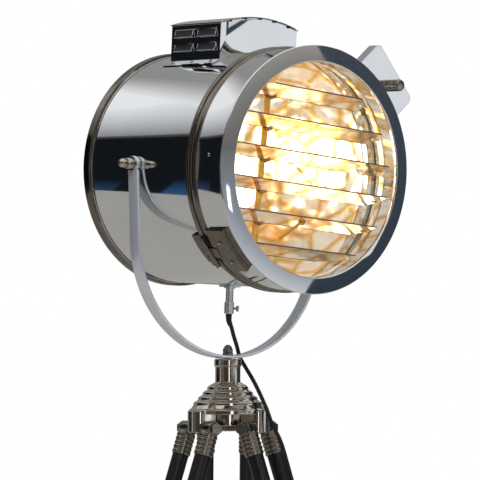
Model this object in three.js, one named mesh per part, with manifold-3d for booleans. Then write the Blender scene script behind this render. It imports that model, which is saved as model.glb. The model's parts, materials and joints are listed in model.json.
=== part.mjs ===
// Tripod spotlight floor lamp. Millimetres, +Z up, the lamp's front faces -Y, the floor is z = 0.
import * as THREE from 'three';
import { mergeVertices } from 'three/addons/utils/BufferGeometryUtils.js';
import Module from 'manifold-3d';

const wasm = await Module();
wasm.setup();

// Sizes shared by all pieces
const degree = Math.PI / 180;
const seatGap = 0.3;
const runGap = 0.3;
const overrun = 2;
const weldStep = 1e-4;

// Facets around each kind of round piece
const drumFacets = 38;
const ringFacets = 28;
const bowlFacets = 20;
const hubFacets = 22;
const poleFacets = 12;
const smallFacets = 10;
const pinFacets = 8;
const arcSteps = 8;
const shortArcSteps = 3;

// Tripod
const legs = {
  boltHeight: 930,
  boltOut: 55.5,
  splay: 18.2 * degree,
  azimuths: [171.8 * degree, -68.2 * degree, 51.8 * degree],
  poleRadius: 13.5,
  poleSpacing: 71,
};
const bolt = { radius: 5, headRadius: 10.6, headThick: 6.5 };
const ferrule = {
  wall: 0.9,
  knuckleRadius: 12,
  shoulderDrop: 7,
  ribsDrop: 10,
  ribPitch: 7.2,
  ribCount: 5,
  ribHeight: 0.9,
  capThick: 5,
};
const clamp = {
  drop: 585,
  cupDepth: 22,
  cupFloor: 4,
  wall: 3.4,
  sleeveLength: 62,
  sleeveWall: 5.5,
  webThick: 14,
  webHeight: 18,
  bossRadius: 8,
  bossLength: 9,
  bossUp: 15,
};
const legKnob = { shankRadius: 3, headRadius: 12, headThick: 10, flutes: 8, fluteDepth: 1.8, standOff: 3 };
const lowerPole = { topDrop: 230, endAboveFloor: 50 };
const footCap = { wall: 1.6, length: 34, floor: 10 };
const foot = { radius: 17.5, neckRadius: 14, roundShare: 0.35 };

// Hub casting, sizes upwards from the leg bolts
const hub = {
  lugWidth: 38,
  lugDrop: 7,
  lugRise: 29,
  blockRadius: 36,
  blockRise: 4,
  discRise: 23,
  discRadius: 65,
  discThick: 9,
  discSlope: 4,
  ringCount: 4,
  ringPitch: 8.5,
  ringTopRadius: 34,
  ringBottomRadius: 57,
  grooveDepth: 3,
  ringRound: 2.6,
  shoulder: 3,
  neckRadius: 21,
  neckLength: 25.5,
  beadRadius: 22.7,
  beadHeight: 13.7,
  footGroove: 2.5,
  boreRadius: 6.2,
  boreDepth: 18,
};

// Yoke
const yoke = {
  width: 25,
  thick: 5,
  bowRadius: 197,
  bowDrop: 118,
  halfSpan: 200.5,
  arcSteps: 24,
};
const domeNut = { radius: 8.75, height: 17.5, flat: 9, studLength: 12 };
const pivotStud = { radius: 4, bossRadius: 11, bossSink: 3, reach: 11.5 };
const pivotNut = {
  washerRadius: 12,
  washerThick: 2.4,
  gripRadius: 8.6,
  gripLength: 11,
  collarRadius: 6,
  tipRadius: 7.2,
  tipLength: 14,
};

// Drum
const headTilt = 3.45 * degree;
const drum = {
  radius: 193,
  wall: 1.5,
  rearBand: 198.5,
  beadRadius: 200,
  beadRound: 1.5,
  rear: 138,
  bandWidth: 17,
  backPlate: 131,
  bead: 134,
  beadWidth: 8,
  neckRadius: 195,
  parting: 146,
};
const ventSlot = { halfWidth: 58, halfLength: 40 };
const vent = {
  halfWidth: 82,
  front: 67,
  rear: 61,
  roof: 250,
  wall: 1.5,
  flange: 16,
  roofLap: 2.2,
  roofOver: 3,
  notchPitch: 40,
  notchCount: 5,
  notchWidth: 5,
  notchDepth: 2.6,
};
const louvre = {
  length: 47,
  height: 12,
  pitchAlong: 60,
  pitchUp: 23,
  flapThick: 1.2,
  throw: 4,
  above: 17,
  lap: 1,
};
const bowl = { seat: 126, depth: 226, wall: 1.2, steps: 6, stemHole: 12 };
const stem = {
  back: 17,
  radius: 6.35,
  boreRadius: 4,
  reachIn: 43,
  drop: 28,
  collarRadius: 8,
  collarLength: 19,
  collarFloor: 4,
  saddleHalf: 14,
  saddleAngle: 7 * degree,
  saddleThick: 3,
};
const stemScrew = { turn: -40 * degree, up: 9, shankRadius: 2, headRadius: 4.8, headThick: 5, standOff: 3.5 };
const holder = { radius: 21, baseRadius: 10, shoulder: 11, skirt: 42, rimRadius: 23, rim: 6, boreDepth: 35 };
const bulb = {
  baseRadius: 13.8,
  baseLength: 37,
  neckRadius: 22,
  globeRadius: 47.5,
  globeRise: 104,
  wall: 1.2,
  ventRadius: 3,
  steps: 5,
};

// Hood with its shutter
const hood = {
  spigotDepth: 7,
  spigotWall: 1.6,
  spigotGap: 0.6,
  beadStart: 149,
  beadWidth: 9,
  radius: 196,
  wall: 1.5,
  bezelBack: 221,
  bezelRadius: 200,
  bezelFront: 227,
  openRadius: 172.7,
  lip: 6,
};
const slatRoll = 4 * degree;
const shutterRing = { inner: 176, outer: 180, back: 183, width: 10, tabWidth: 12 };
const slat = {
  pivotBack: 188,
  width: 52,
  thick: 1.5,
  pitch: 51,
  topHeight: 120.1,
  count: 6,
  tilt: 16.5 * degree,
  endGap: 3,
  pinRadius: 2.5,
  pinLap: 12,
  pinPast: 1.5,
  endSteps: 3,
};
const ear = { reach: 7, radius: 4, thick: 2, root: 6, boreGap: 0.2 };
const tieBar = { across: -60, width: 12, thick: 2, past: 8, pinRadius: 1.5, pinPast: 0.8 };
const lever = {
  onSlat: 4,
  across: -9,
  forward: 19,
  ballRadius: 6,
  rodRadius: 2.5,
  rodAcross: -46,
  rodBack: 6,
  rodDrop: 31,
};
const latch = {
  angle: 42 * degree,
  width: 118,
  thick: 21,
  front: 195,
  reach: 259,
  corner: 9,
  tongueWidth: 30,
  tongueThick: 3,
  tongueEnd: 136,
};
const latchKnob = { fromTop: 30, offCentre: 7, radius: 10, length: 32, flutes: 10, fluteDepth: 1 };
const hinge = {
  angle: 223 * degree,
  plateHalf: 12 * degree,
  plateThick: 7,
  plateFront: 200,
  barrelOut: 5.4,
  barrelRadius: 4.2,
  pinRadius: 2,
  knuckleHalf: 9.6,
  length: 56,
  linkThick: 3.6,
  leafEnd: 112,
  leafThick: 5,
};

// Cord, its coil and its plug. The route is in the tripod's own frame, from the stem to the coil.
const cord = { radius: 3.4, sides: 8, steps: 68, lift: 3.6 };
const cordRoute = [
  [0.9, -1.8, 1107],
  [7.6, 0.2, 1098],
  [17.3, 6.2, 1084],
  [31, 14.4, 1067.3],
  [42.3, 19.3, 1047.3],
  [46.1, 10.9, 1032.3],
  [41.5, -16.1, 1009],
  [34, -39.4, 990.6],
  [25, -63, 972.3],
  [19.5, -77.7, 960],
  [21.5, -86.9, 939],
  [33, -96, 909],
  [42.4, -103.5, 868.9],
  [46.4, -109.4, 844],
  [66.6, -139.6, 730],
  [93.1, -178.9, 580],
  [117.9, -222, 430],
  [134.2, -252, 330],
  [147.9, -280.8, 230],
  [161.4, -306.5, 130],
  [171.2, -317.5, 70],
  [181.2, -321.1, 30],
  [193.5, -316.8, 11.5],
  [208, -304.6, 4.6],
  [219, -280, 3.7],
  [221, -245, 3.6],
  [212, -205, 3.6],
  [197, -163, 3.6],
  [180, -122, 3.6],
  [170.5, -95, 3.6],
];
const coil = {
  x: 124,
  y: -60,
  outerRadius: 45,
  pitch: 7.5,
  layerRise: 7.4,
  tail: 44,
  turnsIn: 2,
  stepsPerTurn: 24,
  sides: 6,
};
const plug = {
  neckRadius: 5.5,
  neckLength: 14,
  length: 40,
  halfWidth: 15,
  shoulderShare: 0.6,
  halfThick: 10.6,
  pinRadius: 2.4,
  pinLength: 19,
  pinSpacing: 19,
};

// Finishes
const finish = {
  chrome: () => new THREE.MeshStandardMaterial({ color: 0xd6d8da, roughness: 0.08, metalness: 1 }),
  nickel: () => new THREE.MeshStandardMaterial({ color: 0xb9b5ac, roughness: 0.28, metalness: 1 }),
  darkMetal: () => new THREE.MeshStandardMaterial({ color: 0x3b3a38, roughness: 0.4, metalness: 1 }),
  reflector: () => new THREE.MeshStandardMaterial({ color: 0xe9dcc0, roughness: 0.22, metalness: 1 }),
  blackWood: () => new THREE.MeshStandardMaterial({ color: 0x17181a, roughness: 0.45, metalness: 0 }),
  rubber: () => new THREE.MeshStandardMaterial({ color: 0x141414, roughness: 0.85, metalness: 0 }),
  cord: () => new THREE.MeshStandardMaterial({ color: 0x101112, roughness: 0.6, metalness: 0 }),
  ceramic: () => new THREE.MeshStandardMaterial({ color: 0xe6e2d8, roughness: 0.35, metalness: 0 }),
  glass: () => new THREE.MeshStandardMaterial({ color: 0xfff1d8, roughness: 0.1, metalness: 0 }),
};

// Closed meshes, and joining and cutting them
function weld(geometry) {
  const bare = geometry.clone();
  for (const name of Object.keys(bare.attributes)) {
    if (name !== 'position') bare.deleteAttribute(name);
  }
  const merged = mergeVertices(bare, weldStep);
  const from = merged.index.array;
  const place = merged.attributes.position;
  const kept = [];
  for (let i = 0; i < from.length; i += 3) {
    const [a, b, c] = [from[i], from[i + 1], from[i + 2]];
    if (a !== b && b !== c && c !== a) kept.push(a, b, c);
  }
  const corner = [new THREE.Vector3(), new THREE.Vector3(), new THREE.Vector3()];
  let volume = 0;
  for (let i = 0; i < kept.length; i += 3) {
    corner.forEach((point, n) => point.fromBufferAttribute(place, kept[i + n]));
    volume += corner[0].dot(corner[1].clone().cross(corner[2]));
  }
  if (volume < 0) kept.reverse();
  merged.setIndex(kept);
  return merged;
}

function toSolid(geometry) {
  const closed = weld(geometry);
  return new wasm.Manifold(
    new wasm.Mesh({
      numProp: 3,
      vertProperties: Float32Array.from(closed.attributes.position.array),
      triVerts: Uint32Array.from(closed.index.array),
    }),
  );
}

function toGeometry(solid) {
  const mesh = solid.getMesh();
  const geometry = new THREE.BufferGeometry();
  geometry.setAttribute('position', new THREE.BufferAttribute(Float32Array.from(mesh.vertProperties), 3));
  geometry.setIndex(Array.from(mesh.triVerts));
  return geometry;
}

function join(...parts) {
  return toGeometry(parts.map(toSolid).reduce((whole, part) => whole.add(part)));
}

function cut(body, ...tools) {
  return toGeometry(tools.map(toSolid).reduce((rest, tool) => rest.subtract(tool), toSolid(body)));
}

function meet(a, b) {
  return toGeometry(toSolid(a).intersect(toSolid(b)));
}

// Basic forms
function revolve(profile, facets) {
  return new THREE.LatheGeometry(
    profile.map(([radius, along]) => new THREE.Vector2(radius, along)),
    facets,
  );
}

function revolveUp(profile, facets) {
  return revolve(profile, facets).rotateX(90 * degree);
}

function revolveAcross(profile, facets) {
  return revolve(profile, facets).rotateZ(-90 * degree);
}

function block(xs, ys, zs) {
  const size = [xs, ys, zs].map(([low, high]) => high - low);
  const middle = [xs, ys, zs].map(([low, high]) => (low + high) / 2);
  return new THREE.BoxGeometry(...size).translate(...middle);
}

function rod(from, to, radius, facets = smallFacets) {
  const start = new THREE.Vector3(...from);
  const along = new THREE.Vector3(...to).sub(start);
  const turn = new THREE.Quaternion().setFromUnitVectors(
    new THREE.Vector3(0, 1, 0),
    along.clone().normalize(),
  );
  return new THREE.CylinderGeometry(radius, radius, along.length(), facets)
    .applyQuaternion(turn)
    .translate(...start.addScaledVector(along, 1 / 2).toArray());
}

// A shape drawn in X and Z, filling the space from y = front to y = back
function slab(shape, front, back, curveSegments = arcSteps) {
  return new THREE.ExtrudeGeometry(shape, {
    depth: back - front,
    bevelEnabled: false,
    curveSegments,
  })
    .rotateX(90 * degree)
    .translate(0, back, 0);
}

// A curved plate between two radii about the Y axis, angles from +X towards +Z
function curvedPlate(inner, outer, from, to, front, back, steps = arcSteps) {
  const shape = new THREE.Shape();
  shape.absarc(0, 0, outer, from, to, false);
  shape.absarc(0, 0, inner, to, from, true);
  return slab(shape, front, back, steps);
}

// Turns a piece drawn above the Y axis, with +Z outwards, to the angle it has on the drum
function turnTo(geometry, angle) {
  return geometry.rotateY(90 * degree - angle);
}

function fluted(radius, depth, flutes, length) {
  const shape = new THREE.Shape();
  for (let i = 0; i < 2 * flutes; i += 1) {
    const angle = (i / flutes) * Math.PI;
    const reach = i % 2 ? radius - depth : radius;
    const place = [reach * Math.cos(angle), reach * Math.sin(angle)];
    if (i) shape.lineTo(...place);
    else shape.moveTo(...place);
  }
  return new THREE.ExtrudeGeometry(shape, { depth: length, bevelEnabled: false });
}

function piece(name, geometry, material) {
  const mesh = new THREE.Mesh(weld(geometry), material());
  mesh.geometry.computeVertexNormals();
  mesh.name = name;
  return mesh;
}

function at(place, rotation, ...children) {
  const group = new THREE.Group();
  group.position.set(...place);
  group.rotation.set(...rotation);
  group.add(...children);
  return group;
}

// Heights that follow from the sizes above
const ringBase = hub.discRise + hub.discThick + hub.discSlope;
const coneTop = ringBase + hub.ringCount * hub.ringPitch + hub.shoulder;
const hubTop = coneTop + hub.neckLength + hub.footGroove + hub.beadHeight;
const yokeDrop = yoke.bowDrop + yoke.bowRadius;
const pivotHeight = legs.boltHeight + hubTop + seatGap + yokeDrop;
const legLength = legs.boltHeight / Math.cos(legs.splay);

// Hub: collar, neck, stepped rings, disc, block and three lugs in one casting
function hubGeometry() {
  const profile = [
    [0, hubTop - hub.boreDepth],
    [hub.boreRadius, hubTop - hub.boreDepth],
    [hub.boreRadius, hubTop],
    [hub.beadRadius - hub.footGroove, hubTop],
    [hub.beadRadius, hubTop - hub.footGroove],
    [hub.beadRadius, hubTop - hub.beadHeight + hub.footGroove],
    [hub.neckRadius, hubTop - hub.beadHeight],
    [hub.neckRadius, coneTop],
  ];
  const step = (hub.ringBottomRadius - hub.ringTopRadius) / (hub.ringCount - 1);
  for (let i = 0; i < hub.ringCount; i += 1) {
    const radius = hub.ringTopRadius + i * step;
    const top = ringBase + (hub.ringCount - i) * hub.ringPitch;
    profile.push([radius - hub.grooveDepth, top]);
    profile.push([radius, top - hub.ringRound]);
    profile.push([radius, top - hub.ringPitch + hub.ringRound / 2]);
  }
  const discTop = hub.discRise + hub.discThick;
  profile.push([hub.discRadius - hub.discSlope, discTop]);
  profile.push([hub.discRadius, discTop - hub.ringRound]);
  profile.push([hub.discRadius, hub.discRise]);
  profile.push([0, hub.discRise]);
  const cone = revolveUp(profile, hubFacets);
  const core = rod([0, 0, hub.blockRise], [0, 0, hub.discRise + overrun], hub.blockRadius, hubFacets);
  const lugs = legs.azimuths.map((azimuth) => {
    const half = hub.lugWidth / 2;
    const web = block([0, legs.boltOut], [-half, half], [-hub.lugDrop, hub.lugRise]);
    const inner = block(
      [-overrun, hub.blockRadius - overrun],
      [-half - overrun, half + overrun],
      [-hub.lugDrop - overrun, hub.blockRise],
    );
    const nose = rod([legs.boltOut, 0, -hub.lugDrop], [legs.boltOut, 0, hub.lugRise], half, 2 * smallFacets);
    const bore = rod(
      [legs.boltOut, -half - overrun, 0],
      [legs.boltOut, half + overrun, 0],
      bolt.radius + runGap / 2,
    );
    return cut(join(web, nose), inner, bore).rotateZ(azimuth);
  });
  return join(cone, core, ...lugs);
}

// Leg bolt: shank with a hex head at each end
function boltGeometry() {
  const headAt = legs.poleSpacing / 2 + legs.poleRadius + ferrule.wall + ferrule.ribHeight + seatGap;
  const end = headAt + bolt.headThick;
  return join(
    rod([0, -headAt - overrun, 0], [0, headAt + overrun, 0], bolt.radius),
    rod([0, headAt, 0], [0, end, 0], bolt.headRadius, 6),
    rod([0, -end, 0], [0, -headAt, 0], bolt.headRadius, 6),
  );
}

// Ferrule: a knuckle on the bolt above a ribbed sleeve over the pole
function ferruleGeometry() {
  const inner = legs.poleRadius + runGap;
  const sleeve = inner + ferrule.wall;
  const crest = sleeve + ferrule.ribHeight;
  const profile = [
    [0, -ferrule.shoulderDrop],
    [sleeve - ferrule.wall, -ferrule.shoulderDrop],
    [sleeve, -ferrule.ribsDrop],
  ];
  for (let i = 0; i < ferrule.ribCount; i += 1) {
    const top = -ferrule.ribsDrop - i * ferrule.ribPitch;
    profile.push([crest, top - ferrule.ribPitch / 2]);
    profile.push([sleeve, top - ferrule.ribPitch]);
  }
  const socketTop = -ferrule.shoulderDrop - ferrule.capThick;
  profile.push([inner, -ferrule.ribsDrop - ferrule.ribCount * ferrule.ribPitch]);
  profile.push([inner, socketTop]);
  profile.push([0, socketTop]);
  const upTo = ferrule.knuckleRadius + overrun;
  const knuckle = meet(
    rod([0, -crest, 0], [0, crest, 0], ferrule.knuckleRadius),
    rod([0, 0, -ferrule.shoulderDrop - overrun], [0, 0, upTo], sleeve),
  );
  const bore = rod([0, -crest - overrun, 0], [0, crest + overrun, 0], bolt.radius + runGap);
  return cut(join(knuckle, revolveUp(profile, smallFacets)), bore);
}

function upperPoleGeometry() {
  const top = -ferrule.shoulderDrop - ferrule.capThick - seatGap;
  const bottom = -clamp.drop - clamp.cupDepth + seatGap;
  return rod([0, 0, bottom], [0, 0, top], legs.poleRadius);
}

// Clamp bracket: two cups for the upper poles, a sleeve for the lower one and a boss for its screw
function clampGeometry() {
  const half = legs.poleSpacing / 2;
  const bore = legs.poleRadius + runGap;
  const top = -clamp.drop;
  const cupBottom = top - clamp.cupDepth - clamp.cupFloor;
  const sleeveBottom = top - clamp.sleeveLength;
  const bossAt = sleeveBottom + clamp.bossUp;
  const bossEnd = bore + clamp.sleeveWall + clamp.bossLength;
  const cups = [-half, half].map((y) => rod([0, y, cupBottom], [0, y, top], bore + clamp.wall));
  const sleeve = rod([0, 0, sleeveBottom], [0, 0, top], bore + clamp.sleeveWall, poleFacets);
  const web = block(
    [-clamp.webThick / 2, clamp.webThick / 2],
    [-half, half],
    [cupBottom, cupBottom + clamp.webHeight],
  );
  const boss = rod([bore + overrun, 0, bossAt], [bossEnd, 0, bossAt], clamp.bossRadius, pinFacets);
  return cut(
    join(sleeve, ...cups, web, boss),
    ...[-half, half].map((y) => rod([0, y, top - clamp.cupDepth], [0, y, top + overrun], bore)),
    rod([0, 0, sleeveBottom - overrun], [0, 0, top + overrun], bore, poleFacets),
    rod([0, 0, bossAt], [bossEnd + overrun, 0, bossAt], legKnob.shankRadius + runGap, pinFacets),
  );
}

function legKnobGeometry() {
  const bore = legs.poleRadius + runGap;
  const headAt = bore + clamp.sleeveWall + clamp.bossLength + legKnob.standOff;
  const head = fluted(legKnob.headRadius, legKnob.fluteDepth, legKnob.flutes, legKnob.headThick);
  return join(
    rod([bore, 0, 0], [headAt + overrun, 0, 0], legKnob.shankRadius, pinFacets),
    head.rotateY(90 * degree).translate(headAt, 0, 0),
  );
}

function lowerPoleGeometry() {
  const bottom = -legLength + lowerPole.endAboveFloor;
  return rod([0, 0, bottom], [0, 0, -lowerPole.topDrop], legs.poleRadius, poleFacets);
}

function footCapGeometry() {
  const poleEnd = -legLength + lowerPole.endAboveFloor;
  const bore = legs.poleRadius + runGap;
  const radius = bore + footCap.wall;
  const bottom = poleEnd - footCap.floor;
  const top = bottom + footCap.length;
  const floor = poleEnd - seatGap;
  const profile = [
    [0, floor],
    [bore, floor],
    [bore, top],
    [radius - footCap.wall / 2, top],
    [radius, top - footCap.wall],
    [radius, bottom],
    [0, bottom],
  ];
  return revolveUp(profile, poleFacets);
}

// Rubber foot, its underside cut level with the floor the leg stands on
function footGeometry() {
  const top = -legLength + lowerPole.endAboveFloor - footCap.floor - seatGap;
  const bottom = -legLength - foot.radius;
  const swell = top - foot.roundShare * foot.radius;
  const profile = [
    [0, top],
    [foot.neckRadius, top],
    [foot.radius, swell],
    [foot.radius, bottom],
    [0, bottom],
  ];
  const below = block(
    [-3 * foot.radius, 3 * foot.radius],
    [-3 * foot.radius, 3 * foot.radius],
    [-3 * foot.radius, 0],
  )
    .rotateY(legs.splay)
    .translate(0, 0, -legLength);
  return cut(revolveUp(profile, poleFacets), below);
}

function leg(number, azimuth) {
  const half = legs.poleSpacing / 2;
  const knobAt = -clamp.drop - clamp.sleeveLength + clamp.bossUp;
  const sides = [-half, half].flatMap((y, side) => {
    const letter = 'ab'[side];
    return [
      at([0, y, 0], [0, 0, 0], piece(`ferrule_${number}${letter}`, ferruleGeometry(), finish.nickel)),
      at([0, y, 0], [0, 0, 0], piece(`upper_pole_${number}${letter}`, upperPoleGeometry(), finish.blackWood)),
    ];
  });
  const swung = at(
    [0, 0, 0],
    [0, -legs.splay, 0],
    ...sides,
    piece(`leg_clamp_${number}`, clampGeometry(), finish.nickel),
    piece(`lower_pole_${number}`, lowerPoleGeometry(), finish.blackWood),
    piece(`foot_cap_${number}`, footCapGeometry(), finish.nickel),
    piece(`foot_${number}`, footGeometry(), finish.rubber),
    at([0, 0, knobAt], [0, 0, 0], piece(`leg_knob_${number}`, legKnobGeometry(), finish.nickel)),
  );
  const hung = at(
    [legs.boltOut, 0, legs.boltHeight],
    [0, 0, 0],
    piece(`leg_bolt_${number}`, boltGeometry(), finish.nickel),
    swung,
  );
  return at([0, 0, 0], [0, 0, azimuth], hung);
}

// Yoke: a flat bar bent to a bow, with rounded ends drilled for the pivots
function yokeGeometry() {
  const half = yoke.width / 2;
  const shape = new THREE.Shape();
  shape.moveTo(-yoke.halfSpan, half);
  shape.lineTo(-yoke.halfSpan, -half);
  shape.lineTo(-yoke.bowRadius, -yoke.bowDrop);
  shape.absarc(0, -yoke.bowDrop, yoke.bowRadius, 180 * degree, 360 * degree, false);
  shape.lineTo(yoke.halfSpan, -half);
  shape.lineTo(yoke.halfSpan, half);
  shape.lineTo(yoke.halfSpan - yoke.thick, half);
  shape.lineTo(yoke.halfSpan - yoke.thick, -half);
  shape.lineTo(yoke.bowRadius - yoke.thick, -yoke.bowDrop);
  shape.absarc(0, -yoke.bowDrop, yoke.bowRadius - yoke.thick, 360 * degree, 180 * degree, true);
  shape.lineTo(-yoke.halfSpan + yoke.thick, -half);
  shape.lineTo(-yoke.halfSpan + yoke.thick, half);
  shape.closePath();
  const bar = slab(shape, -half, half, yoke.arcSteps);
  const wide = yoke.halfSpan + overrun;
  const keep = join(
    block([-wide, wide], [-half - overrun, half + overrun], [-yokeDrop - overrun, 0]),
    rod([-wide, 0, 0], [wide, 0, 0], half, 2 * smallFacets),
  );
  return cut(
    meet(bar, keep),
    rod([-wide, 0, 0], [wide, 0, 0], pivotStud.radius + runGap),
    rod([0, 0, -yokeDrop - overrun], [0, 0, -yokeDrop + yoke.thick + overrun], hub.boreRadius, poleFacets),
  );
}

// Dome nut on its stud, which passes through the yoke into the hub
function domeNutGeometry() {
  const seat = -yokeDrop + yoke.thick + seatGap;
  const stud = hub.boreRadius - runGap;
  const round = domeNut.height - domeNut.flat;
  return revolveUp(
    [
      [0, seat + domeNut.height],
      [domeNut.radius / 2, seat + domeNut.height - round / 8],
      [domeNut.radius * Math.sin(60 * degree), seat + domeNut.flat + round / 2],
      [domeNut.radius, seat + domeNut.flat],
      [domeNut.radius, seat],
      [stud, seat],
      [stud, seat - yoke.thick - domeNut.studLength],
      [0, seat - yoke.thick - domeNut.studLength],
    ],
    poleFacets,
  );
}

// Nut outside the yoke arm: washer, grip and rounded tip over the pivot stud, drawn towards +X
function pivotNutGeometry() {
  const seat = yoke.halfSpan + seatGap;
  const grip = seat + pivotNut.washerThick;
  const collar = grip + pivotNut.gripLength;
  const tip = collar + pivotNut.tipLength;
  const bore = pivotStud.radius + runGap;
  const boreEnd = yoke.halfSpan + pivotStud.reach + seatGap;
  return revolveAcross(
    [
      [0, boreEnd],
      [bore, boreEnd],
      [bore, seat],
      [pivotNut.washerRadius, seat],
      [pivotNut.washerRadius, grip],
      [pivotNut.gripRadius, grip],
      [pivotNut.gripRadius, collar],
      [pivotNut.collarRadius, collar],
      [pivotNut.tipRadius, collar + pivotNut.tipLength / 3],
      [pivotNut.tipRadius, collar + (2 * pivotNut.tipLength) / 3],
      [pivotNut.tipRadius / 2, tip - pivotNut.tipLength / 12],
      [0, tip],
    ],
    smallFacets,
  );
}

// Drum shell with its back plate, rear band, front bead and neck
function drumShellGeometry() {
  const inside = drum.radius - drum.wall;
  const beadFront = -drum.bead - drum.beadWidth;
  const neckEnd = -drum.parting + seatGap;
  const bandFront = drum.rear - drum.bandWidth;
  const profile = [
    [0, drum.backPlate],
    [drum.radius - 3 * drum.wall, drum.backPlate],
    [drum.radius, drum.rear - drum.wall],
    [drum.rearBand - drum.wall, drum.rear],
    [drum.rearBand, drum.rear - drum.wall],
    [drum.rearBand, bandFront],
    [drum.radius, bandFront],
    [drum.radius, -drum.bead + drum.beadRound],
    [drum.beadRadius - drum.beadRound, -drum.bead],
    [drum.beadRadius, -drum.bead - drum.beadRound],
    [drum.beadRadius, beadFront + drum.beadRound],
    [drum.beadRadius - drum.beadRound, beadFront],
    [drum.neckRadius, beadFront - drum.beadRound / 2],
    [drum.neckRadius, neckEnd],
    [inside, neckEnd],
    [inside, drum.backPlate - drum.wall],
    [0, drum.backPlate - drum.wall],
  ];
  const shell = revolve(profile, drumFacets);
  const boss = yoke.halfSpan - yoke.thick - seatGap;
  const inner = drum.radius - pivotStud.bossSink;
  const studs = [-1, 1].flatMap((side) => [
    rod([side * inner, 0, 0], [side * boss, 0, 0], pivotStud.bossRadius, poleFacets),
    rod([side * inner, 0, 0], [side * (yoke.halfSpan + pivotStud.reach), 0, 0], pivotStud.radius),
  ]);
  const slot = block(
    [-ventSlot.halfWidth, ventSlot.halfWidth],
    [-ventSlot.halfLength, ventSlot.halfLength],
    [inside / 2, drum.radius + overrun],
  );
  const hole = rod(
    [0, -stem.back, -drum.radius - overrun],
    [0, -stem.back, -inside / 2],
    stem.radius + 2 * runGap,
  );
  return cut(join(shell, ...studs, hingeLeafGeometry()), slot, hole);
}

// Drum side of the hood's hinge: leaf, two links, two knuckles and the pin, drawn above the Y axis
function hingeLeafGeometry() {
  const barrelAt = drum.beadRadius + hinge.barrelOut;
  const half = hinge.length / 2;
  const start = hinge.knuckleHalf + runGap;
  const leaf = curvedPlate(
    drum.radius - drum.wall / 2,
    drum.radius + hinge.leafThick,
    90 * degree - half / drum.radius,
    90 * degree + half / drum.radius,
    -drum.bead - drum.beadRound,
    -hinge.leafEnd,
    shortArcSteps,
  );
  const sides = [-1, 1].map((side) => {
    const span = [side * start, side * half].sort((a, b) => a - b);
    const ends = span.map((x) => [x, -drum.parting, barrelAt]);
    const up = [drum.beadRadius - drum.beadRound, barrelAt - hinge.barrelRadius + hinge.linkThick];
    return join(
      rod(...ends, hinge.barrelRadius),
      block(span, [-drum.parting, -drum.bead + hinge.linkThick], up),
    );
  });
  const clearOfHood = block(
    [-half - overrun, half + overrun],
    [-drum.parting - hinge.barrelRadius - overrun, -drum.bead - drum.beadWidth],
    [drum.radius, drum.beadRadius + seatGap],
  );
  const pin = rod(
    [-start - overrun, -drum.parting, barrelAt],
    [start + overrun, -drum.parting, barrelAt],
    hinge.pinRadius,
  );
  return turnTo(join(leaf, ...sides.map((link) => cut(link, clearOfHood)), pin), hinge.angle);
}

// Vent housing: an open-bottomed box with an arched roof, side flanges and pressed louvres
function ventShape(halfWidth, roof, low) {
  const side = Math.asin(halfWidth / roof);
  const shape = new THREE.Shape();
  shape.moveTo(halfWidth, low);
  shape.lineTo(-halfWidth, low);
  shape.absarc(0, 0, roof, 90 * degree + side, 90 * degree - side, true);
  shape.closePath();
  return shape;
}

function ventBoxGeometry() {
  const base = drum.radius + seatGap;
  const low = base * Math.cos(Math.asin(vent.halfWidth / base)) - vent.flange;
  const outer = slab(ventShape(vent.halfWidth, vent.roof, low), -vent.front, vent.rear);
  const hollow = slab(
    ventShape(vent.halfWidth - vent.wall, vent.roof - vent.wall, low - overrun),
    -vent.front + vent.wall,
    vent.rear - vent.wall,
  );
  const roofHalf = (vent.halfWidth + vent.roofLap) / vent.roof;
  const roofFront = -vent.front - vent.roofOver;
  const roofRear = vent.rear + vent.roofOver;
  const roof = curvedPlate(
    vent.roof - vent.wall / 2,
    vent.roof + vent.wall,
    90 * degree - roofHalf,
    90 * degree + roofHalf,
    roofFront,
    roofRear,
  );
  const notches = [];
  for (let i = 0; i < vent.notchCount; i += 1) {
    const x = (i - (vent.notchCount - 1) / 2) * vent.notchPitch;
    const across = [x - vent.notchWidth / 2, x + vent.notchWidth / 2];
    const up = [vent.roof / 2, vent.roof + vent.wall + overrun];
    notches.push(block(across, [roofFront - overrun, roofFront + vent.notchDepth], up));
    notches.push(block(across, [roofRear - vent.notchDepth, roofRear + overrun], up));
  }
  const edge = Math.acos((vent.halfWidth - vent.wall) / base);
  const flangeEnd = Math.acos((vent.halfWidth + vent.flange) / base);
  const flanges = [
    curvedPlate(base, base + vent.wall, flangeEnd, edge, -vent.front, vent.rear, shortArcSteps),
    curvedPlate(
      base,
      base + vent.wall,
      180 * degree - edge,
      180 * degree - flangeEnd,
      -vent.front,
      vent.rear,
      shortArcSteps,
    ),
  ];
  const body = rod([0, -vent.front - overrun, 0], [0, vent.rear + overrun, 0], base, drumFacets);
  const shell = cut(join(cut(outer, hollow), roof), body, ...notches);
  const { holes, flaps } = louvres(Math.sqrt(base ** 2 - vent.halfWidth ** 2));
  return join(cut(shell, ...holes), ...flanges, ...flaps);
}

function louvres(panelFoot) {
  const holes = [];
  const flaps = [];
  const middle = (vent.rear - vent.front) / 2;
  for (const side of [-1, 1]) {
    for (const row of [0, 1]) {
      for (const column of [-1, 1]) {
        const foot = panelFoot + louvre.above + row * louvre.pitchUp;
        const y = middle + (column * louvre.pitchAlong) / 2;
        const along = [y - louvre.length / 2, y + louvre.length / 2];
        const inset = [along[0] + louvre.lap, along[1] - louvre.lap];
        const hole = block(
          [vent.halfWidth - vent.wall - overrun, vent.halfWidth + overrun],
          inset,
          [foot, foot + louvre.height - louvre.lap],
        );
        holes.push(hole.scale(side, 1, 1));
        const lean = Math.asin(louvre.throw / louvre.height);
        flaps.push(
          block([0, louvre.flapThick], along, [-louvre.height, louvre.lap])
            .rotateY(-lean)
            .translate(vent.halfWidth - louvre.flapThick, 0, foot + louvre.height)
            .scale(side, 1, 1),
        );
      }
    }
  }
  return { holes, flaps };
}

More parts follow.
